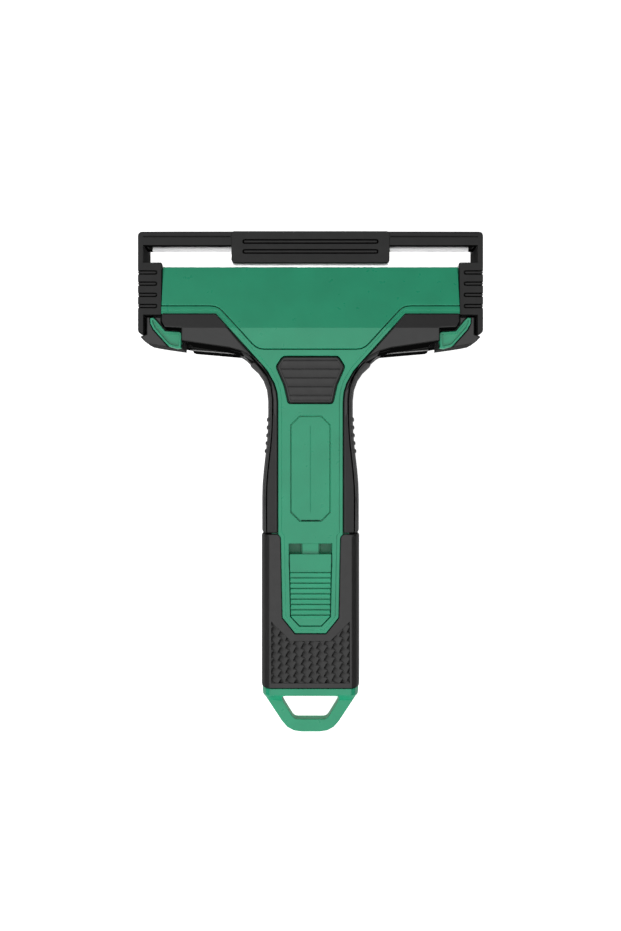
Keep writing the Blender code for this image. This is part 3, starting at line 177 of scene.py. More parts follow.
# Wings' arms beside the strip
ARM_INNER = 10.6 * MM
ARM_OUTER = 15.0 * MM
ARM_DROP = 1.7 * MM
ARM_FADE = 8.0 * MM
ARM_FADE_Y = 30.0 * MM

# Thumb pad
PAD_EDGE = ((6.8, 26.1), (8.0, 31.53), (10.5, 37.4), (8.5, 40.4))
PAD_ROUND = 0.8 * MM
PAD_CHAMFER = 0.4 * MM
PAD_MARGIN = 0.85 * MM
PAD_LINES = 5
PAD_LINE_START = 1.0 * MM
PAD_LINE_PITCH = 2.70 * MM
PAD_LINE_WIDTH = 0.38 * MM
PAD_LINE_DEPTH = 0.50 * MM
PAD_DISH = 0.16 * MM

# Slide button and its spring
BUTTON_EDGE = ((3.3, -42.5), (6.0, -39.7), (6.4, -20.5))
BUTTON_REACH = 8 * MM
BUTTON_LOW = 20.4 * MM
BUTTON_PROUD = 0.26 * MM
BUTTON_RIBS = 9
RIB_START = 5.8 * MM
RIB_PITCH = 1.64 * MM
RIB_SLOPE = 0.9 * MM
RIB_GROOVE = 0.34 * MM
RIB_GROOVE_DEPTH = 0.32 * MM
RIB_GROOVE_SIDE = 0.3
RAMP_START = 4.4 * MM
RAMP_RISE = 0.12 * MM
NECK_HALF = 2.5 * MM
NECK_LOW_Y = -23.3 * MM
NECK_HIGH_Y = -13.3 * MM
NECK_HIGH = 23.3 * MM
LEG_HALF = 1.6 * MM
LEG_LOW_Y = -29.5 * MM
LEG_HIGH_Y = -27.1 * MM
LEG_LOW = 15.4 * MM
LEG_HIGH = 22.4 * MM

# Guard: the cores raised in its slots and finger grooves, and the frame's inner walls
GUARD_HIGH = 20.5 * MM
GUARD_PAD_HIGH = 20.8 * MM
SLOT_FLOOR = 19.4 * MM
FINGER_FLOOR = 19.0 * MM
GROOVE_SKIN = 0.04 * MM
SLOT_WIDTH = 1.4 * MM
FINGER_WIDTH = 1.3 * MM
CORE_HALF = 0.30 * MM
CORE_SINK = 0.10 * MM
SLOT_YS = (76.8 * MM, 73.7 * MM)
SLOT_HALF = 21.2 * MM
SLOT_END_GAP = 0.42 * MM
FINGER_TOP_Y = 67.2 * MM
FINGER_PITCH = 3.5 * MM
FINGERS = 4
FINGER_INNER = 47.9 * MM
FINGER_OUTER = 53.9 * MM
GUARD_HALF = 54.0 * MM
GUARD_INNER_HALF = 52.3 * MM
GUARD_INNER_Y = 75.7 * MM
END_REACH = 81.0 * MM

# Under the head: the right half of the rim's and the lever's lines, and the step on the rim, which is
# painted pale as a highlight
UNDER_EDGE = ((41.2, 44.45), (23.1, 42.95), (20.5, 41.68), (17.9, 37.7))
UNDER_BEND_STEPS = 7
LATCH_UNDER_EDGE = ((53.6, 47.2), (52.2, 45.9), (50.8, 45.15), (48.6, 44.7), (45.1, 44.15),
                    (38.0, 43.15))
UNDER_CUT_LOW_Y = 30.0 * MM
SHELF_HIGH = 9.2 * MM
LEDGE_WIDTH = 0.28 * MM
LEDGE_DEPTH = 0.12 * MM

# Faces that take painted shadow or a painted highlight: how squarely they face, and where they lie under
# the head
FACING = 0.9
HEAD_UNDER_LOW_Y = 41.0 * MM
HEAD_UNDER_HIGH_Y = 54.0 * MM

# Sleeve and its texture
SEAM_CHAMFER = 0.45 * MM
SEAM_GAP = 0.2 * MM
SEAM_FACE_HALF = 13.6 * MM
SLEEVE_CORNER = 1.6 * MM
SLEEVE_FACE_LOW = 21.5 * MM
CELL_COLUMN = 2.371 * MM
CELL_ROW = 2.496 * MM
CELL_SHIFT = 0.13
CELL_MARGIN = 2
CELL_RING_DROP = 0.32 * MM
PIT_DEPTH = 0.95 * MM
PIT_HALF_X = 0.34 * MM
PIT_HALF_Y = 0.66 * MM
PIT_FLOOR_SHARE = 0.7
PIT_RIM_X = 0.26 * MM
PIT_RIM_Y = 0.10 * MM
PIT_LEFT_DROP = 0.05 * MM
PIT_RIGHT_DROP = 0.60 * MM
PATCH_HALF = 12.1 * MM
PATCH_FOOT_ABOVE_END = 1.5 * MM
PATCH_BELOW_BUTTON = 4.8 * MM
PATCH_STEP_HALF = 6.1 * MM
PATCH_BASE = 0.4 * MM


def link(thing):
    """Puts an object in the scene."""
    bpy.context.scene.collection.objects.link(thing)
    return thing


# Studio

def make_camera():
    """Straight above the tool, as in the photograph."""
    data = bpy.data.cameras.new("camera")
    data.sensor_width = SENSOR
    data.lens = FOCAL_PIXELS / PHOTO_HEIGHT * SENSOR
    camera = bpy.data.objects.new("camera", data)
    camera.location = (0.0, CAMERA_Y, CAMERA_Z)
    link(camera)
    bpy.context.scene.camera = camera


def studio_white():
    """The white of the floor and the wall, with a light of its own."""
    look = bpy.data.materials.new("floor_white")
    look.use_nodes = True
    shader = look.node_tree.nodes["Principled BSDF"]
    shader.inputs["Base Color"].default_value = FLOOR_COLOR
    shader.inputs["Roughness"].default_value = FLOOR_ROUGHNESS
    shader.inputs["Specular IOR Level"].default_value = 0.0
    shader.inputs["Emission Color"].default_value = WHITE
    shader.inputs["Emission Strength"].default_value = FLOOR_GLOW
    return look


def make_floor(look):
    """A white floor just under the tool's back."""
    mesh = bpy.data.meshes.new("floor")
    reach = BACKDROP_REACH
    corners = rectangle(-reach, reach, -reach, reach)
    mesh.from_pydata([(x, y, FLOOR_LOW) for x, y in corners], [], [(0, 1, 2, 3)])
    mesh.materials.append(look)
    floor = link(bpy.data.objects.new("floor", mesh))
    floor.visible_glossy = False


def make_backdrop(look):
    """A pale wall all round, seen only by the camera, so that it changes no light."""
    ring = []
    count = BACKDROP_PANELS
    for z in (BACKDROP_LOW, BACKDROP_HIGH):
        for turn in range(count):
            angle = 2 * math.pi * turn / count
            ring.append((BACKDROP_REACH * math.cos(angle), BACKDROP_REACH * math.sin(angle), z))
    faces = []
    for turn in range(count):
        after = (turn + 1) % count
        faces.append((turn, after, count + after, count + turn))
    mesh = bpy.data.meshes.new("backdrop")
    mesh.from_pydata(ring, [], faces)
    mesh.materials.append(look)
    wall = link(bpy.data.objects.new("backdrop", mesh))
    wall.visible_diffuse = False
    wall.visible_glossy = False
    wall.visible_transmission = False
    wall.visible_shadow = False


def lamp(name, location, width, power):
    """A round soft lamp turned towards the tool."""
    data = bpy.data.lights.new(name, "AREA")
    data.shape = "DISK"
    data.size = width
    data.energy = power
    made = bpy.data.objects.new(name, data)
    made.location = location
    aim = Vector(LAMP_AIM) - Vector(location)
    made.rotation_euler = aim.to_track_quat("-Z", "Y").to_euler()
    return link(made)


def smooth_range(tree, source, steps):
    """Maps a source from its first two steps to its last two, with soft ends."""
    made = tree.nodes.new("ShaderNodeMapRange")
    made.interpolation_type = "SMOOTHSTEP"
    for socket, value in zip(("From Min", "From Max", "To Min", "To Max"), steps):
        made.inputs[socket].default_value = value
    tree.links.new(source, made.inputs["Value"])
    return made.outputs["Result"]


def worked_out(tree, operation, first, second):
    """The sum, product or the like of two sources."""
    made = tree.nodes.new("ShaderNodeMath")
    made.operation = operation
    tree.links.new(first, made.inputs[0])
    tree.links.new(second, made.inputs[1])
    return made.outputs[0]


def make_dome():
    """A soft dome, bright overhead and towards the handle, dark beyond the head and near the floor."""
    world = bpy.data.worlds.new("studio")
    world.use_nodes = True
    tree = world.node_tree
    background = tree.nodes["Background"]
    background.inputs["Color"].default_value = WHITE
    direction = tree.nodes.new("ShaderNodeTexCoord").outputs["Generated"]
    split = tree.nodes.new("ShaderNodeSeparateXYZ")
    tree.links.new(direction, split.inputs[0])
    towards = tree.nodes.new("ShaderNodeVectorMath")
    towards.operation = "DOT_PRODUCT"
    towards.inputs[1].default_value = DARK_POLE
    tree.links.new(direction, towards.inputs[0])
    turned = smooth_range(tree, towards.outputs["Value"], POLE_STEPS)
    rise = smooth_range(tree, split.outputs["Z"], RISE_STEPS)
    under = smooth_range(tree, split.outputs["Z"], UNDER_STEPS)
    strength = worked_out(tree, "MULTIPLY", turned, worked_out(tree, "ADD", rise, under))
    tree.links.new(strength, background.inputs["Strength"])
    bpy.context.scene.world = world


def make_lamps():
    """A key light from the handle's end, and one over the head for the blade alone."""
    key = lamp("key", KEY_PLACE, KEY_WIDTH, KEY_POWER)
    key.visible_glossy = False
    over_blade = lamp("over_blade", BLADE_LAMP_PLACE, BLADE_LAMP_WIDTH, BLADE_LAMP_POWER)
    lit = bpy.data.collections.new("lit_by_over_blade")
    lit.objects.link(NODES["blade"])
    over_blade.light_linking.receiver_collection = lit


# Materials

def grey(level):
    """A colour with the same red, green and blue."""
    return (level, level, level)


class Look:
    """A Principled material with its node tree at hand."""

    def __init__(self, name, **values):
        self.material = bpy.data.materials.new(name)
        self.material.use_nodes = True
        self.tree = self.material.node_tree
        self.shader = self.tree.nodes["Principled BSDF"]
        for socket, value in values.items():
            self.shader.inputs[socket.replace("_", " ")].default_value = value
        self.place = self.node("TexCoord").outputs["Object"]

    def node(self, kind, **settings):
        """A new shader node of a kind, with its settings."""
        made = self.tree.nodes.new(f"ShaderNode{kind}")
        for setting, value in settings.items():
            setattr(made, setting, value)
        return made

    def join(self, source, target):
        """Feeds one node's output to another's input."""
        self.tree.links.new(source, target)

    def noise(self, size, detail=3.0, stretch=(1.0, 1.0, 1.0)):
        """Noise whose features are about a size across, in metres."""
        scaled = self.node("Mapping")
        scaled.inputs["Scale"].default_value = [s / size for s in stretch]
        self.join(self.place, scaled.inputs["Vector"])
        noise = self.node("TexNoise")
        noise.inputs["Scale"].default_value = 1.0
        noise.inputs["Detail"].default_value = detail
        self.join(scaled.outputs["Vector"], noise.inputs["Vector"])
        return noise.outputs["Fac"]

    def spread(self, source, low, high, start=0.3, end=0.7):
        """Maps start..end of a source to low..high."""
        ranged = self.node("MapRange")
        for socket, value in zip(("From Min", "From Max", "To Min", "To Max"), (start, end, low, high)):
            ranged.inputs[socket].default_value = value
        self.join(source, ranged.inputs["Value"])
        return ranged.outputs["Result"]

    def times(self, first, second):
        """The product of two sources."""
        return worked_out(self.tree, "MULTIPLY", first, second)

    def blend(self, factor, first, second):
        """Mixes two colours, each a colour or another node's output, by a factor."""
        mix = self.node("Mix", data_type="RGBA")
        self.join(factor, mix.inputs["Factor"])
        for name, color in (("A", first), ("B", second)):
            socket = [s for s in mix.inputs if s.name == name and s.type == "RGBA"][0]
            if isinstance(color, tuple):
                socket.default_value = (*color, 1.0)
            else:
                self.join(color, socket)
        return [s for s in mix.outputs if s.type == "RGBA"][0]

    def edge(self, radius):
        """How near a surface point is to an outer or inner edge, and the softened normal there."""
        soft = self.node("Bevel", samples=EDGE_SAMPLES)
        soft.inputs["Radius"].default_value = radius
        own = self.node("NewGeometry")
        turn = self.node("VectorMath", operation="DOT_PRODUCT")
        self.join(soft.outputs["Normal"], turn.inputs[0])
        self.join(own.outputs["Normal"], turn.inputs[1])
        near = self.spread(turn.outputs["Value"], 1.0, 0.0, EDGE_TURNED, EDGE_LEVEL)
        return near, soft.outputs["Normal"]

    def upright_wall(self, half_x, half_y):
        """1 on upright walls that lie within two distances of the middle, else 0."""
        spot = self.node("SeparateXYZ")
        self.join(self.place, spot.inputs[0])
        facing = self.node("SeparateXYZ")
        self.join(self.node("TexCoord").outputs["Normal"], facing.inputs[0])
        factor = None
        for socket, limit in ((spot.outputs["X"], half_x), (spot.outputs["Y"], half_y),
                              (facing.outputs["Z"], WALL_TILT)):
            size = self.node("Math", operation="ABSOLUTE")
            self.join(socket, size.inputs[0])
            test = self.node("Math", operation="LESS_THAN")
            self.join(size.outputs[0], test.inputs[0])
            test.inputs[1].default_value = limit
            factor = self.times(factor, test.outputs[0]) if factor else test.outputs[0]
        return factor

    def bump(self, height, distance, strength, normal):
        """A normal roughened by a height, over another normal."""
        made = self.node("Bump")
        made.inputs["Distance"].default_value = distance
        made.inputs["Strength"].default_value = strength
        self.join(height, made.inputs["Height"])
        self.join(normal, made.inputs["Normal"])
        return made.outputs["Normal"]


def moulded(name, color, pale, roughness, grain, depth, edge_wear_and_highlight=0.3, specular=0.5, matte=None):
    """Moulded plastic or rubber: a fine even grain, faint clouds, and paler, smoother edges, partly wear
    and partly a painted highlight.

    Upright walls within a matte box, given by its half lengths across and along, are left rough
    from the mould.
    """
    look = Look(name, Specular_IOR_Level=specular)
    dark = tuple(part * CLOUD_DARK for part in color)
    light = tuple(part * CLOUD_LIGHT for part in color)
    body = look.blend(look.spread(look.noise(CLOUD_SIZE), 0.0, 1.0), dark, light)
    near, normal = look.edge(EDGE_LOOK)
    # Paler edges in patches: partly wear, partly a painted highlight where edges catch light.
    worn_and_lit_edge = look.times(near, look.spread(look.noise(PALE_EDGE_PATCH_SIZE), PALE_EDGE_LEAST * edge_wear_and_highlight, edge_wear_and_highlight))
    look.join(look.blend(worn_and_lit_edge, body, pale), look.shader.inputs["Base Color"])
    uneven = look.noise(SHINE_SIZE, detail=SHINE_DETAIL)
    shine = look.spread(uneven, roughness - SHINE_LESS, roughness + SHINE_MORE)
    if matte:
        shine = look.blend(look.upright_wall(*matte), shine, grey(MATTE))
    look.join(shine, look.shader.inputs["Roughness"])
    fine = look.noise(grain, detail=1.0)
    look.join(look.bump(fine, depth, GRAIN_STRENGTH, normal), look.shader.inputs["Normal"])
    return look.material


def ground_steel(name, color, roughness, stretch, metallic=1.0):
    """Ground steel: fine scratches along one way, and faint clouds."""
    look = Look(name, Metallic=metallic)
    dark = tuple(part * STEEL_CLOUD_DARK for part in color)
    body = look.blend(look.spread(look.noise(STEEL_CLOUD_SIZE), 0.0, 1.0), dark, color)
    look.join(body, look.shader.inputs["Base Color"])
    scratches = look.noise(SCRATCH_SIZE, detail=SCRATCH_DETAIL, stretch=stretch)
    shine = look.spread(scratches, roughness - SHINE_MORE, roughness + SHINE_MORE)
    look.join(shine, look.shader.inputs["Roughness"])
    normal = look.edge(STEEL_EDGE_LOOK)[1]
    bumped = look.bump(scratches, SCRATCH_DEPTH, SCRATCH_STRENGTH, normal)
    look.join(bumped, look.shader.inputs["Normal"])
    return look.material


def make_looks():
    """Every finish by its short name."""
    whole_tool = (GUARD_HALF, END_REACH)
    guard_inside = (GUARD_INNER_HALF + SKIN, GUARD_INNER_Y + SKIN)
    return {
        "green": moulded("green_moulded", color=(0.021, 0.372, 0.193), pale=(0.08, 0.50, 0.30),
                         roughness=0.30, specular=0.60, grain=0.22 * MM, depth=0.005 * MM, edge_wear_and_highlight=0.2),
        "black": moulded("black_moulded", color=grey(0.016), pale=grey(0.055), roughness=0.34,
                         specular=0.70, grain=0.20 * MM, depth=0.006 * MM, matte=whole_tool),
        # The back's pale edges, far lighter than its body, are a painted highlight along the rim's edges
        # as well as wear.
        "back": moulded("back_moulded", color=grey(0.008), pale=grey(0.25), roughness=0.46,
                        specular=0.30, grain=0.20 * MM, depth=0.006 * MM),
        # Painted highlight: pale grey for the rim's ledge, standing for light caught there.
        "ledge": moulded("ledge_painted_highlight", color=grey(0.42), pale=grey(0.42), roughness=0.46,
                         specular=0.30, grain=0.20 * MM, depth=0.006 * MM),
        # Painted shadow: a near-black, matte finish for walls that are only dark from shade.
        "shadow": moulded("painted_shadow_black", color=grey(0.003), pale=grey(0.006), roughness=0.90,
                          specular=0.0, grain=0.26 * MM, depth=0.008 * MM),
        "guard": moulded("guard_moulded", color=grey(0.013), pale=grey(0.045), roughness=0.46,
                         specular=0.42, grain=0.26 * MM, depth=0.008 * MM, matte=guard_inside),
        "rubber": moulded("grip_rubber", color=(0.022, 0.0215, 0.0215), pale=grey(0.050),
                          roughness=0.48, specular=0.74, grain=0.14 * MM, depth=0.006 * MM, edge_wear_and_highlight=0.2),
        "blade": ground_steel("ground_steel", color=(0.98, 0.98, 0.985), roughness=0.30,
                              stretch=(0.03, 1.0, 1.0), metallic=0.40),
        "steel": ground_steel("fastener_steel", color=(0.62, 0.62, 0.61), roughness=0.34,
                              stretch=(1.0, 1.0, 0.2)),
    }


# Outlines

def both_sides(right):
    """A closed outline from its right half, listed from the low end to the high end."""
    return list(right) + [(-x, y) for x, y in reversed(right)]


def in_mm(points):
    """Points listed in millimetres, in the scene's metres."""
    return [(x * MM, y * MM) for x, y in points]


def inset(outline, distance):
    """An anticlockwise outline moved inwards by a distance, or outwards by a negative one."""
    moved = []
    for index, (x, y) in enumerate(outline):
        before = outline[index - 1]
        after = outline[(index + 1) % len(outline)]
        normals = []
        for (x0, y0), (x1, y1) in ((before, (x, y)), ((x, y), after)):
            length = math.hypot(x1 - x0, y1 - y0)
            normals.append(((y0 - y1) / length, (x1 - x0) / length))
        (ax, ay), (bx, by) = normals
        share = distance / (1 + ax * bx + ay * by)
        moved.append((x + (ax + bx) * share, y + (ay + by) * share))
    return moved


def rounded(outline, radius):
    """The outline with each corner curved from a radius away."""
    points = []
    for index, corner in enumerate(outline):
        ends = []
        for other in (outline[index - 1], outline[(index + 1) % len(outline)]):
            share = radius / math.dist(corner, other)
            ends.append([c + (o - c) * share for c, o in zip(corner, other)])
        for step in range(ROUND_STEPS + 1):
            share = step / ROUND_STEPS
            weights = ((1 - share) ** 2, 2 * share * (1 - share), share ** 2)
            places = (ends[0], corner, ends[1])
            points.append(tuple(sum(w * p[k] for w, p in zip(weights, places)) for k in (0, 1)))
    return points


def bent_end(line, steps):
    """A line whose last three points are the start, the pull and the end of a soft bend."""
    *straight, start, pull, end = [Vector(point) for point in line]
    shares = [step / steps for step in range(steps + 1)]
    bend = [start.lerp(pull, share).lerp(pull.lerp(end, share), share) for share in shares]
    return [tuple(point) for point in (*straight, *bend)]


def rectangle(x0, x1, y0, y1):
    """An anticlockwise outline between two places across and two along."""
    return [(x0, y0), (x1, y0), (x1, y1), (x0, y1)]


def obround(x0, x1, y, half):
    """A bar in plan with round ends."""
    points = []
    for middle, start in ((x1 - half, -math.pi / 2), (x0 + half, math.pi / 2)):
        for step in range(2 * ROUND_STEPS + 1):
            turn = start + math.pi * step / (2 * ROUND_STEPS)
            points.append((middle + half * math.cos(turn), y + half * math.sin(turn)))
    return points


# Solids

def mesh_object(name, points, faces):
    """An object with a mesh of its own."""
    mesh = bpy.data.meshes.new(name)
    mesh.from_pydata(points, [], faces)
    mesh.validate()
    return link(bpy.data.objects.new(name, mesh))


def loft(name, rings):
    """A closed solid skinned over rings of equally many points."""
    count = len(rings[0])
    points = [point for ring in rings for point in ring]
    last = len(points) - count
    faces = [tuple(reversed(range(count))), tuple(range(last, last + count))]
    for level in range(len(rings) - 1):
        for index in range(count):
            after = (index + 1) % count
            low = level * count
            faces.append((low + index, low + after, low + count + after, low + count + index))
    made = mesh_object(name, points, faces)
    shape = bmesh.new()
    shape.from_mesh(made.data)
    bmesh.ops.recalc_face_normals(shape, faces=shape.faces)
    shape.to_mesh(made.data)
    shape.free()
    return made


def prism(name, outline, low, high, chamfer=0.0):
    """A closed solid over an outline in plan, with its top rim chamfered."""
    levels = [(0.0, low), (0.0, high - chamfer)]
    if chamfer:
        levels.append((chamfer, high))
    return loft(name, [[(x, y, z) for x, y in inset(outline, depth)] for depth, z in levels])


def across(name, profile, half):
    """A profile in y and z carried across the tool, from -half to +half."""
    return loft(name, [[(x, y, z) for y, z in profile] for x in (-half, half)])


def combine(target, operation, *tools):
    """Joins or cuts a solid with others, which are used up."""
    for tool in tools:
        change = target.modifiers.new(tool.name, "BOOLEAN")
        change.operation = operation
        change.solver = "EXACT"
        change.object = tool
    graph = bpy.context.evaluated_depsgraph_get()
    shape = bpy.data.meshes.new_from_object(target.evaluated_get(graph))
    target.modifiers.clear()
    target.data = shape
    for tool in tools:
        bpy.data.objects.remove(tool)
    return target


def tidy_faces(shape):
    """Welds the corners and makes flat faces whole again."""
    bmesh.ops.remove_doubles(shape, verts=shape.verts, dist=WELD)
    bmesh.ops.dissolve_limit(shape, angle_limit=FLAT_ANGLE, verts=shape.verts, edges=shape.edges)


def moulding(node):
    """A closed copy of a CAD node, to be worked on and to stand for it."""
    made = link(bpy.data.objects.new(f"{node}_moulding", bpy.data.meshes.new(node)))
    shape = bmesh.new()
    shape.from_mesh(NODES[node].data)
    tidy_faces(shape)
    shape.to_mesh(made.data)
    shape.free()
    return made


def on_front_face(spot):
    """Whether a point lies on the front, away from the handle's rounded sides."""
    return abs(spot.x) < SEAM_FACE_HALF and spot.z > SLEEVE_FACE_LOW


def on_strip_edge(spot):
    """Whether a point lies at the line between the green front and the black covers."""
    edge = in_mm(STRIP_EDGE)
    here = Vector((abs(spot.x), spot.y))
    for start, end in zip(edge, edge[1:]):
        near, share = geometry.intersect_point_line(here, Vector(start), Vector(end))
        if 0 <= share <= 1 and (here - near.to_2d()).length < STRIP_EDGE_NEAR:
            return True
    return False


def soften(piece, width, low_y=None, high_y=None, leave=None):
    """Rounds a piece's sharp outer edges, or only those between two places along the tool."""
    shape = bmesh.new()
    shape.from_mesh(piece.data)
    tidy_faces(shape)
    edges = []
    for edge in shape.edges:
        if not (edge.is_manifold and edge.is_convex) or edge.calc_face_angle() < EDGE_ANGLE:
            continue
        if low_y is not None and min(end.co.y for end in edge.verts) < low_y:
            continue
        if high_y is not None and max(end.co.y for end in edge.verts) > high_y:
            continue
        if leave and all(leave(end.co) for end in edge.verts):
            continue
        if min(near.calc_length() for end in edge.verts for near in end.link_edges) > 2 * width:
            edges.append(edge)
    bmesh.ops.bevel(shape, geom=edges, offset=width, segments=EDGE_STEPS, profile=0.5,
                    affect="EDGES", clamp_overlap=False)
    shape.to_mesh(piece.data)
    shape.free()
    return piece


def shade(piece, angle):
    """Smooth shading between edges sharper than an angle, led by the large faces."""
    piece.data.shade_smooth()
    piece.data.set_sharp_from_angle(angle=angle)
    even = piece.modifiers.new("even", "WEIGHTED_NORMAL")
    even.keep_sharp = True


# Finishes on pieces

def dress(look, *names):
    """Gives CAD nodes a finish."""
    for name in names:
        slots = NODES[name].material_slots
        for slot in slots:
            slot.material = look
        if not slots:
            NODES[name].data.materials.append(look)


def body_of(node):
    """The body that a CAD node moves with."""
    return next(body for body, nodes in BODIES.items() if node in nodes)


def place(piece, looks, finish, node):
    """Gives a piece its finish and the body of the CAD node that it belongs to."""
    piece.data.materials.clear()
    piece.data.materials.append(looks[finish])
    shade(piece, CREASE_ANGLE if finish in CREASED else SMOOTH_ANGLE)
    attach(piece, body_of(node))


def stand_in(piece, looks, finish, node):
    """Lets a piece stand for a CAD node."""
    place(piece, looks, finish, node)
    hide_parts(node)


def paint(piece, look, chosen):
    """Gives a further finish to the faces that a test chooses: here painted shadow or a painted
    highlight.
    """
    piece.data.materials.append(look)
    for face in piece.data.polygons:
        if chosen(face):
            face.material_index = len(piece.data.materials) - 1


def darken(piece, looks, low_y, high_y):
    """Painted shadow: a near-black, matte finish on the walls between two places that face the handle's
    end, where shade falls.
    """
    def in_shade(face):
        return face.normal.y < -FACING and low_y < face.center.y < high_y

    paint(piece, looks["shadow"], in_shade)


# Pieces

def plain_pieces(looks):
    """CAD nodes that keep their shape, and soft-edged copies of those that only lack soft edges."""
    dress(looks["black"], "jaw_frame")
    dress(looks["blade"], "blade", *[name for name in NODES if name.startswith("spare_blade_")])
    dress(looks["steel"], "left_latch_pin", "right_latch_pin")
    stand_in(soften(moulding("clamp_plate"), PLATE_EDGE), looks, "green", "clamp_plate")
    for node in ("blade_tray", "left_latch_tab", "right_latch_tab"):
        stand_in(soften(moulding(node), SOFT_EDGE), looks, "green", node)
    for node in NODES:
        if "_screw_" in node:
            stand_in(soften(moulding(node), FINE_EDGE), looks, "steel", node)
    for node in ("left_side_grip", "right_side_grip"):
        grip = soften(moulding(node), SEAM_CHAMFER, high_y=SEAM_Y + SEAM_CHAMFER, leave=on_front_face)
        stand_in(soften(grip, FINE_EDGE, low_y=SEAM_Y + 2 * SEAM_CHAMFER), looks, "rubber", node)


def under_cutter(name, line, sign, low, high):
    """A prism below a line under the head, on one side, between two heights."""
    outline = [(line[-1][0], UNDER_CUT_LOW_Y), (line[0][0], UNDER_CUT_LOW_Y)] + line
    if sign < 0:
        outline = [(-x, y) for x, y in reversed(outline)]
    return prism(name, outline, low, high)


def rear(looks):
    """The back shell, its rim set back under the head so that a narrow ledge shows, painted pale as a
    highlight, with painted shadow on the walls under the head that face the handle's end.
    """
    piece = moulding("rear_shell")
    line = bent_end(in_mm(UNDER_EDGE), UNDER_BEND_STEPS)
    raised = [(x, y + LEDGE_WIDTH) for x, y in line]
    step = SHELF_HIGH - LEDGE_DEPTH
    top = SHELF_HIGH + SKIN
    cutters = []
    for sign in (-1, 1):
        cutters.append(under_cutter(f"under_{sign}", line, sign, -OVERRUN, top))
        cutters.append(under_cutter(f"ledge_{sign}", raised, sign, step, top))
    combine(piece, "DIFFERENCE", *cutters)
    stand_in(soften(piece, SOFT_EDGE), looks, "back", "rear_shell")
    # Painted shadow: near-black on the walls under the head that face the handle's end.
    darken(piece, looks, UNDER_CUT_LOW_Y, HEAD_UNDER_HIGH_Y)

    def on_ledge(face):
        return face.normal.z > FACING and abs(face.center.z - step) < LEDGE_DEPTH / 2

    # Painted highlight: the ledge's upward faces take a pale grey.
    paint(piece, looks["ledge"], on_ledge)


def latch(looks, node, sign):
    """A corner lever, its underside on the photographed line."""
    piece = moulding(node)
    cutter = under_cutter(f"{node}_under", in_mm(LATCH_UNDER_EDGE), sign, -OVERRUN, FRONT_HIGH)
    combine(piece, "DIFFERENCE", cutter)
    stand_in(soften(piece, SOFT_EDGE), looks, "black", node)


def spring(looks):
    """The button's spring, a copy with a mesh of its own; on the tool it shortens as the button slides
    towards the head.
    """
    piece = moulding("button_spring")
    stand_in(piece, looks, "steel", "button_spring")
    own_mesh(piece)


def wing(looks, node, sign):
    """A front cover whose arm beside the strip falls off towards the side."""
    rings = []
    surface = FRONT_HIGH + SKIN
    top = FRONT_HIGH + OVERRUN
    for y, drop in ((SEAM_Y - OVERRUN, ARM_DROP), (ARM_FADE_Y - ARM_FADE, ARM_DROP), (ARM_FADE_Y, 0.0)):
        section = [(ARM_INNER, surface), (ARM_OUTER, surface - drop), (ARM_OUTER, top), (ARM_INNER, top)]
        rings.append([(sign * x, y, z) for x, z in section])
    piece = moulding(node)
    combine(piece, "DIFFERENCE", loft(f"{node}_slant", rings))
    stand_in(soften(piece, FINE_EDGE, leave=on_strip_edge), looks, "black", node)
    # Painted shadow: near-black on the walls under the head that face the handle's end.
    darken(piece, looks, HEAD_UNDER_LOW_Y, HEAD_UNDER_HIGH_Y)


def guard_slots():
    """Cutters that clean the pad's slots, and the raised cores in them."""
    cutters = []
    cores = []
    for number, y in enumerate(SLOT_YS):
        half = SLOT_HALF - GROOVE_SKIN
        plan = obround(-half, half, y, SLOT_WIDTH / 2 - GROOVE_SKIN)
        cutters.append(prism(f"slot_{number}", plan, SLOT_FLOOR, GUARD_PAD_HIGH + OVERRUN))
        half = SLOT_HALF - SLOT_END_GAP
        plan = obround(-half, half, y, CORE_HALF)
        top = GUARD_PAD_HIGH - CORE_SINK
        cores.append(prism(f"slot_core_{number}", plan, SLOT_FLOOR - CORE_HALF, top))
    return cutters, cores


def finger_grooves():
    """Cutters that clean the finger blocks' grooves, and the raised cores in them."""
    cutters = []
    cores = []
    for number in range(FINGERS):
        y = FINGER_TOP_Y - FINGER_PITCH * number
        for sign in (-1, 1):
            near, far = sorted((sign * (FINGER_INNER + GROOVE_SKIN), sign * (GUARD_HALF + OVERRUN)))
            plan = obround(near, far, y, FINGER_WIDTH / 2 - GROOVE_SKIN)
            cutters.append(prism(f"finger_{number}", plan, FINGER_FLOOR, GUARD_PAD_HIGH))
            near, far = sorted((sign * (FINGER_INNER + SLOT_END_GAP), sign * FINGER_OUTER))
            plan = obround(near, far, y, CORE_HALF)
            top = GUARD_HIGH - CORE_SINK
            cores.append(prism(f"finger_core_{number}", plan, FINGER_FLOOR - CORE_HALF, top))
    return cutters, cores


def guard(looks):
    """The guard, with a raised core in each slot and finger groove."""
    piece = moulding("blade_guard")
    slots, slot_cores = guard_slots()
    grooves, groove_cores = finger_grooves()
    combine(piece, "DIFFERENCE", *slots, *grooves)
    combine(piece, "UNION", *slot_cores, *groove_cores)
    stand_in(soften(piece, FINE_EDGE), looks, "guard", "blade_guard")
    # Painted shadow: near-black on the bar's inner wall, which lies in shade above the blade.
    darken(piece, looks, GUARD_INNER_Y - SKIN, GUARD_INNER_Y + SKIN)


def above_front(name, drop):
    """Everything above a surface that lies a drop under the front and follows the head's slope."""
    top = FRONT_HIGH + OVERRUN
    low = FRONT_HIGH - drop
    profile = [(FRONT_LOW_Y, low), (CREASE_Y, low), (HEAD_FRONT_Y, HEAD_HIGH - drop)]
    profile += [(HEAD_FRONT_Y, top), (FRONT_LOW_Y, top)]
    return across(name, profile, FRONT_REACH)


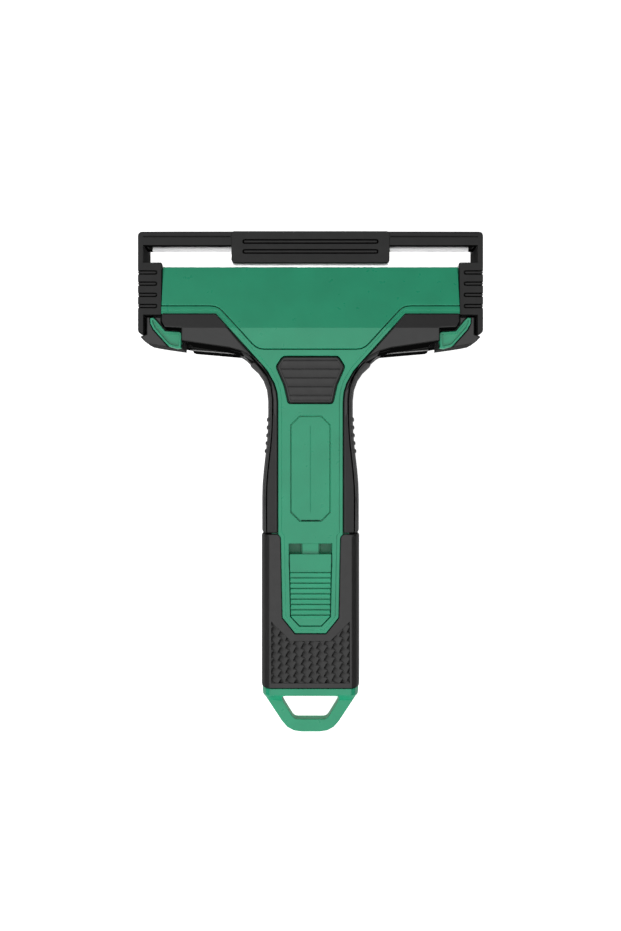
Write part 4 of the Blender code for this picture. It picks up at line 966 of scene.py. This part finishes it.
def octagon():
    """The eight-sided place on the strip, in plan."""
    narrow = OCTAGON_HALF - OCTAGON_CHAMFER
    right = [(narrow, OCTAGON_LOW_Y), (OCTAGON_HALF, OCTAGON_LOW_Y + OCTAGON_CHAMFER)]
    right += [(OCTAGON_HALF, OCTAGON_HIGH_Y - OCTAGON_CHAMFER), (narrow, OCTAGON_HIGH_Y)]
    return both_sides(right)


def seam_corner(sign, radius, low, high, name, widest=None):
    """A prism between the strip's edge and the sleeve's round corner, up to a widest place across."""
    strip_x = in_mm(STRIP_EDGE)[BELOW_SEAM][0]
    centre_x = strip_x + SEAM_GAP + SLEEVE_CORNER
    centre_y = SEAM_Y - SEAM_GAP - SLEEVE_CORNER
    plan = [(strip_x - SLEEVE_CORNER, centre_y)]
    last = math.pi / 2
    if widest is not None:
        last = math.acos((widest - centre_x) / radius)
    for step in range(2 * ROUND_STEPS + 1):
        turn = math.pi + (last - math.pi) * step / (2 * ROUND_STEPS)
        plan.append((centre_x + radius * math.cos(turn), centre_y + radius * math.sin(turn)))
    if widest is not None:
        plan.append((widest, SEAM_Y))
    plan.append((strip_x - SLEEVE_CORNER, plan[-1][1]))
    if sign < 0:
        plan = [(-x, y) for x, y in plan]
    else:
        plan.reverse()
    return prism(name, plan, low, high)


def seam_fill(sign):
    """The green that widens to the sleeve's round corner."""
    return seam_corner(sign, SLEEVE_CORNER + SEAM_GAP, SLEEVE_FACE_LOW, FRONT_HIGH - BORDER_DROP,
                       f"seam_fill_{sign}", widest=in_mm(STRIP_EDGE)[ABOVE_SEAM][0])


def front_border():
    """The cutter that leaves a low border along the front's edge."""
    edge = both_sides(in_mm(STRIP_EDGE))
    top = FRONT_HIGH + OVERRUN
    border = prism("border", inset(edge, -BORDER_REACH), HEAD_HIGH, top)
    inner = prism("border_inner", inset(edge, BORDER_WIDTH), HEAD_HIGH - OVERRUN, top + OVERRUN)
    combine(border, "DIFFERENCE", inner)
    return combine(border, "INTERSECT", above_front("border_surface", BORDER_DROP))


def octagon_lines():
    """Cutters for the line round the octagon and the mould's line along its middle."""
    floor = OCTAGON_FLOOR - OCTAGON_LINE_DEPTH
    line = prism("octagon_line", octagon(), floor, OCTAGON_FLOOR + OCTAGON_LINE_DEPTH)
    inner = prism("octagon_inner", inset(octagon(), OCTAGON_LINE), floor - OVERRUN, FRONT_HIGH + OVERRUN)
    combine(line, "DIFFERENCE", inner)
    low_y = OCTAGON_LOW_Y + MOULD_LINE_INSET
    high_y = OCTAGON_HIGH_Y - MOULD_LINE_INSET
    plan = rectangle(-MOULD_LINE_HALF, MOULD_LINE_HALF, low_y, high_y)
    return line, prism("mould_line", plan, OCTAGON_FLOOR - MOULD_LINE_HALF, FRONT_HIGH)


def button_room():
    """Cutters for the neck's tunnel and the dark notches beside it."""
    plan = rectangle(-TUNNEL_HALF, TUNNEL_HALF, TUNNEL_LOW_Y, TUNNEL_HIGH_Y)
    cutters = [prism("tunnel", plan, TUNNEL_LOW, TUNNEL_HIGH)]
    for sign in (-1, 1):
        near, far = sorted((sign * WELL_INNER, sign * WELL_OUTER))
        plan = rectangle(near, far, WELL_LOW_Y, WELL_HIGH_Y)
        cutters.append(prism(f"well_{sign}", plan, WELL_FLOOR, TUNNEL_HIGH))
    return cutters


def front(looks):
    """The green front, with its border and lines, widened to the sleeve's round corners."""
    piece = moulding("front_shell")
    combine(piece, "DIFFERENCE", front_border(), *octagon_lines(), *button_room())
    combine(piece, "UNION", *[seam_fill(sign) for sign in (-1, 1)])
    stand_in(soften(piece, FINEST_EDGE, leave=on_strip_edge), looks, "green", "front_shell")


def thumb_pad(looks):
    """The pad, with dished lands between fine grooves."""
    outline = rounded(both_sides(in_mm(PAD_EDGE)), PAD_ROUND)
    low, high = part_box("thumb_pad")
    piece = prism("thumb_pad_moulding", outline, low.z, high.z, PAD_CHAMFER)
    surface = []
    land = high.z - SKIN
    floor = high.z - PAD_LINE_DEPTH
    for number in range(PAD_LINES):
        y = high.y - PAD_LINE_START - PAD_LINE_PITCH * number
        after = y - PAD_LINE_WIDTH
        surface += [(y, land), (y, floor), (after, floor), (after, land)]
        surface.append((y - (PAD_LINE_PITCH + PAD_LINE_WIDTH) / 2, high.z - PAD_DISH))
    surface.append((low.y, land))
    surface += [(low.y, high.z + OVERRUN), (surface[0][0], high.z + OVERRUN)]
    tool = across("pad_surface", surface, high.x + OVERRUN)
    plan = inset(both_sides(in_mm(PAD_EDGE)), PAD_MARGIN)
    combine(tool, "INTERSECT", prism("pad_inner", plan, low.z, high.z + 2 * OVERRUN))
    combine(piece, "DIFFERENCE", tool)
    stand_in(piece, looks, "rubber", "thumb_pad")


def button_surface(top_y, low_y, high):
    """The button's surface along the tool: a ramp at the neck, then the saw-tooth ribs."""
    floor = FRONT_HIGH - RIB_GROOVE_DEPTH
    foot = BUTTON_LOW - OVERRUN
    surface = [(top_y + OVERRUN, FRONT_HIGH), (top_y - RAMP_START, FRONT_HIGH)]
    level = FRONT_HIGH + RAMP_RISE
    for number in range(BUTTON_RIBS):
        y = top_y - RIB_START - RIB_PITCH * number
        surface += [(y + RIB_GROOVE, level), (y + RIB_GROOVE * (1 - RIB_GROOVE_SIDE), floor)]
        surface += [(y + RIB_GROOVE * RIB_GROOVE_SIDE, floor), (y, high - SKIN)]
        surface.append((y - RIB_SLOPE, FRONT_HIGH))
        level = FRONT_HIGH
    surface += [(low_y, FRONT_HIGH), (low_y, foot), (top_y + OVERRUN, foot)]
    return across("button_surface", surface, BUTTON_REACH)


def slide_button(looks):
    """The button, with saw-tooth ribs, and its neck and leg."""
    outline = both_sides(in_mm(BUTTON_EDGE))
    top_y = max(y for x, y in outline)
    low_y = min(y for x, y in outline) - OVERRUN
    high = FRONT_HIGH + BUTTON_PROUD
    piece = prism("latch_button_moulding", outline, BUTTON_LOW, high, BUTTON_PROUD)
    combine(piece, "INTERSECT", button_surface(top_y, low_y, high))
    plan = rectangle(-NECK_HALF, NECK_HALF, NECK_LOW_Y, NECK_HIGH_Y)
    neck = prism("button_neck", plan, BUTTON_LOW, NECK_HIGH)
    plan = rectangle(-LEG_HALF, LEG_HALF, LEG_LOW_Y, LEG_HIGH_Y)
    leg = prism("button_leg", plan, LEG_LOW, LEG_HIGH)
    combine(piece, "UNION", neck, leg)
    stand_in(piece, looks, "green", "latch_button")


def patch_outline():
    """The textured field in plan: the sleeve's front, less a plain margin round the tongue."""
    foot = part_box("lower_sleeve")[0].y + PATCH_FOOT_ABOVE_END
    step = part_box("latch_button")[0].y - PATCH_BELOW_BUTTON
    rise = PATCH_HALF - PATCH_STEP_HALF
    right = [(PATCH_HALF, foot), (PATCH_HALF, step + rise), (PATCH_STEP_HALF, step)]
    return [(-x, y) for x, y in reversed(right)] + right


def cell_ring(middle, top):
    """The six corners round a cell, every other one lower."""
    ring = []
    for turn in range(6):
        angle = math.pi / 3 * turn
        x = middle[0] + CELL_COLUMN * 2 / 3 * math.cos(angle)
        y = middle[1] + CELL_ROW / math.sqrt(3) * math.sin(angle)
        ring.append((x, y, top - CELL_RING_DROP * (turn % 2)))
    return ring


def cell_pit(middle, top):
    """A slanting pit: its left rim near the top, its right rim lower, and its floor a line."""
    points = []
    lines = ((-1, 1, PIT_LEFT_DROP), (1, 1, PIT_RIGHT_DROP), (0, PIT_FLOOR_SHARE, PIT_DEPTH))
    for side, share, drop in lines:
        for end in (share, -share):
            x = middle[0] + end * PIT_HALF_X + side * PIT_RIM_X
            y = middle[1] + end * PIT_HALF_Y - side * PIT_RIM_Y
            points.append((x, y, top - drop))
    return points


def cell_faces(first):
    """The faces of one cell, whose twelve points begin at a place in the list."""
    east, north_east, north_west, west, south_west, south_east = range(first, first + 6)
    left_high, left_low, right_high, right_low, deep_high, deep_low = range(first + 6, first + 12)
    return [
        (east, north_east, right_high), (north_east, left_high, right_high),
        (north_east, north_west, left_high), (north_west, west, left_high),
        (west, left_low, left_high), (west, south_west, left_low),
        (south_west, right_low, left_low), (south_west, south_east, right_low),
        (south_east, east, right_low), (east, right_high, right_low),
        (left_high, left_low, deep_low), (left_high, deep_low, deep_high),
        (right_high, deep_high, deep_low), (right_high, deep_low, right_low),
        (left_high, deep_high, right_high), (left_low, right_low, deep_low),
    ]


def pitted_field(name, outline, top):
    """A solid whose top is a staggered grid of six-sided cells, each with a slanting pit."""
    foot = min(y for x, y in outline)
    columns = math.ceil(PATCH_HALF / CELL_COLUMN) + 1
    rows = math.ceil((max(y for x, y in outline) - foot) / CELL_ROW) + CELL_MARGIN
    points = []
    faces = []
    for column in range(-columns, columns + 1):
        stagger = CELL_SHIFT + 0.5 * (column % 2)
        for row in range(-CELL_MARGIN, rows):
            middle = (CELL_COLUMN * column, foot + CELL_ROW * (row + stagger))
            faces += cell_faces(len(points))
            points += cell_ring(middle, top) + cell_pit(middle, top)
    field = mesh_object(name, points, faces)
    shape = bmesh.new()
    shape.from_mesh(field.data)
    bmesh.ops.remove_doubles(shape, verts=shape.verts, dist=WELD)
    bmesh.ops.recalc_face_normals(shape, faces=shape.faces)
    grown = bmesh.ops.extrude_face_region(shape, geom=list(shape.faces))
    for item in grown["geom"]:
        if isinstance(item, bmesh.types.BMVert):
            item.co.z = top - PIT_DEPTH - PATCH_BASE
    bmesh.ops.recalc_face_normals(shape, faces=shape.faces)
    shape.to_mesh(field.data)
    shape.free()
    return field


def sleeve(looks):
    """The sleeve with a field of pits pressed into its front and round corners at the strip."""
    box_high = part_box("lower_sleeve")[1]
    top = box_high.z
    piece = soften(moulding("lower_sleeve"), SEAM_CHAMFER, low_y=box_high.y - SEAM_CHAMFER / 2,
                   leave=on_front_face)
    outline = patch_outline()
    floor = top - PIT_DEPTH - PATCH_BASE / 2
    combine(piece, "DIFFERENCE", prism("sleeve_pocket", outline, floor, top + OVERRUN))
    corners = []
    for sign in (-1, 1):
        corner = seam_corner(sign, SLEEVE_CORNER, SLEEVE_FACE_LOW, top + OVERRUN, f"corner_{sign}")
        corners.append(corner)
    combine(piece, "DIFFERENCE", *corners)
    stand_in(piece, looks, "rubber", "lower_sleeve")
    field = pitted_field("sleeve_field", outline, top)
    combine(field, "INTERSECT", prism("sleeve_frame", outline, floor - OVERRUN, top + OVERRUN))
    place(field, looks, "rubber", "lower_sleeve")


def main():
    """Builds the studio, the finishes and every piece."""
    bpy.context.scene.view_settings.view_transform = "Standard"
    make_camera()
    white = studio_white()
    make_floor(white)
    make_backdrop(white)
    make_dome()
    make_lamps()
    looks = make_looks()
    plain_pieces(looks)
    rear(looks)
    latch(looks, "left_latch", -1)
    latch(looks, "right_latch", 1)
    spring(looks)
    wing(looks, "left_wing", -1)
    wing(looks, "right_wing", 1)
    guard(looks)
    front(looks)
    thumb_pad(looks)
    slide_button(looks)
    sleeve(looks)


main()
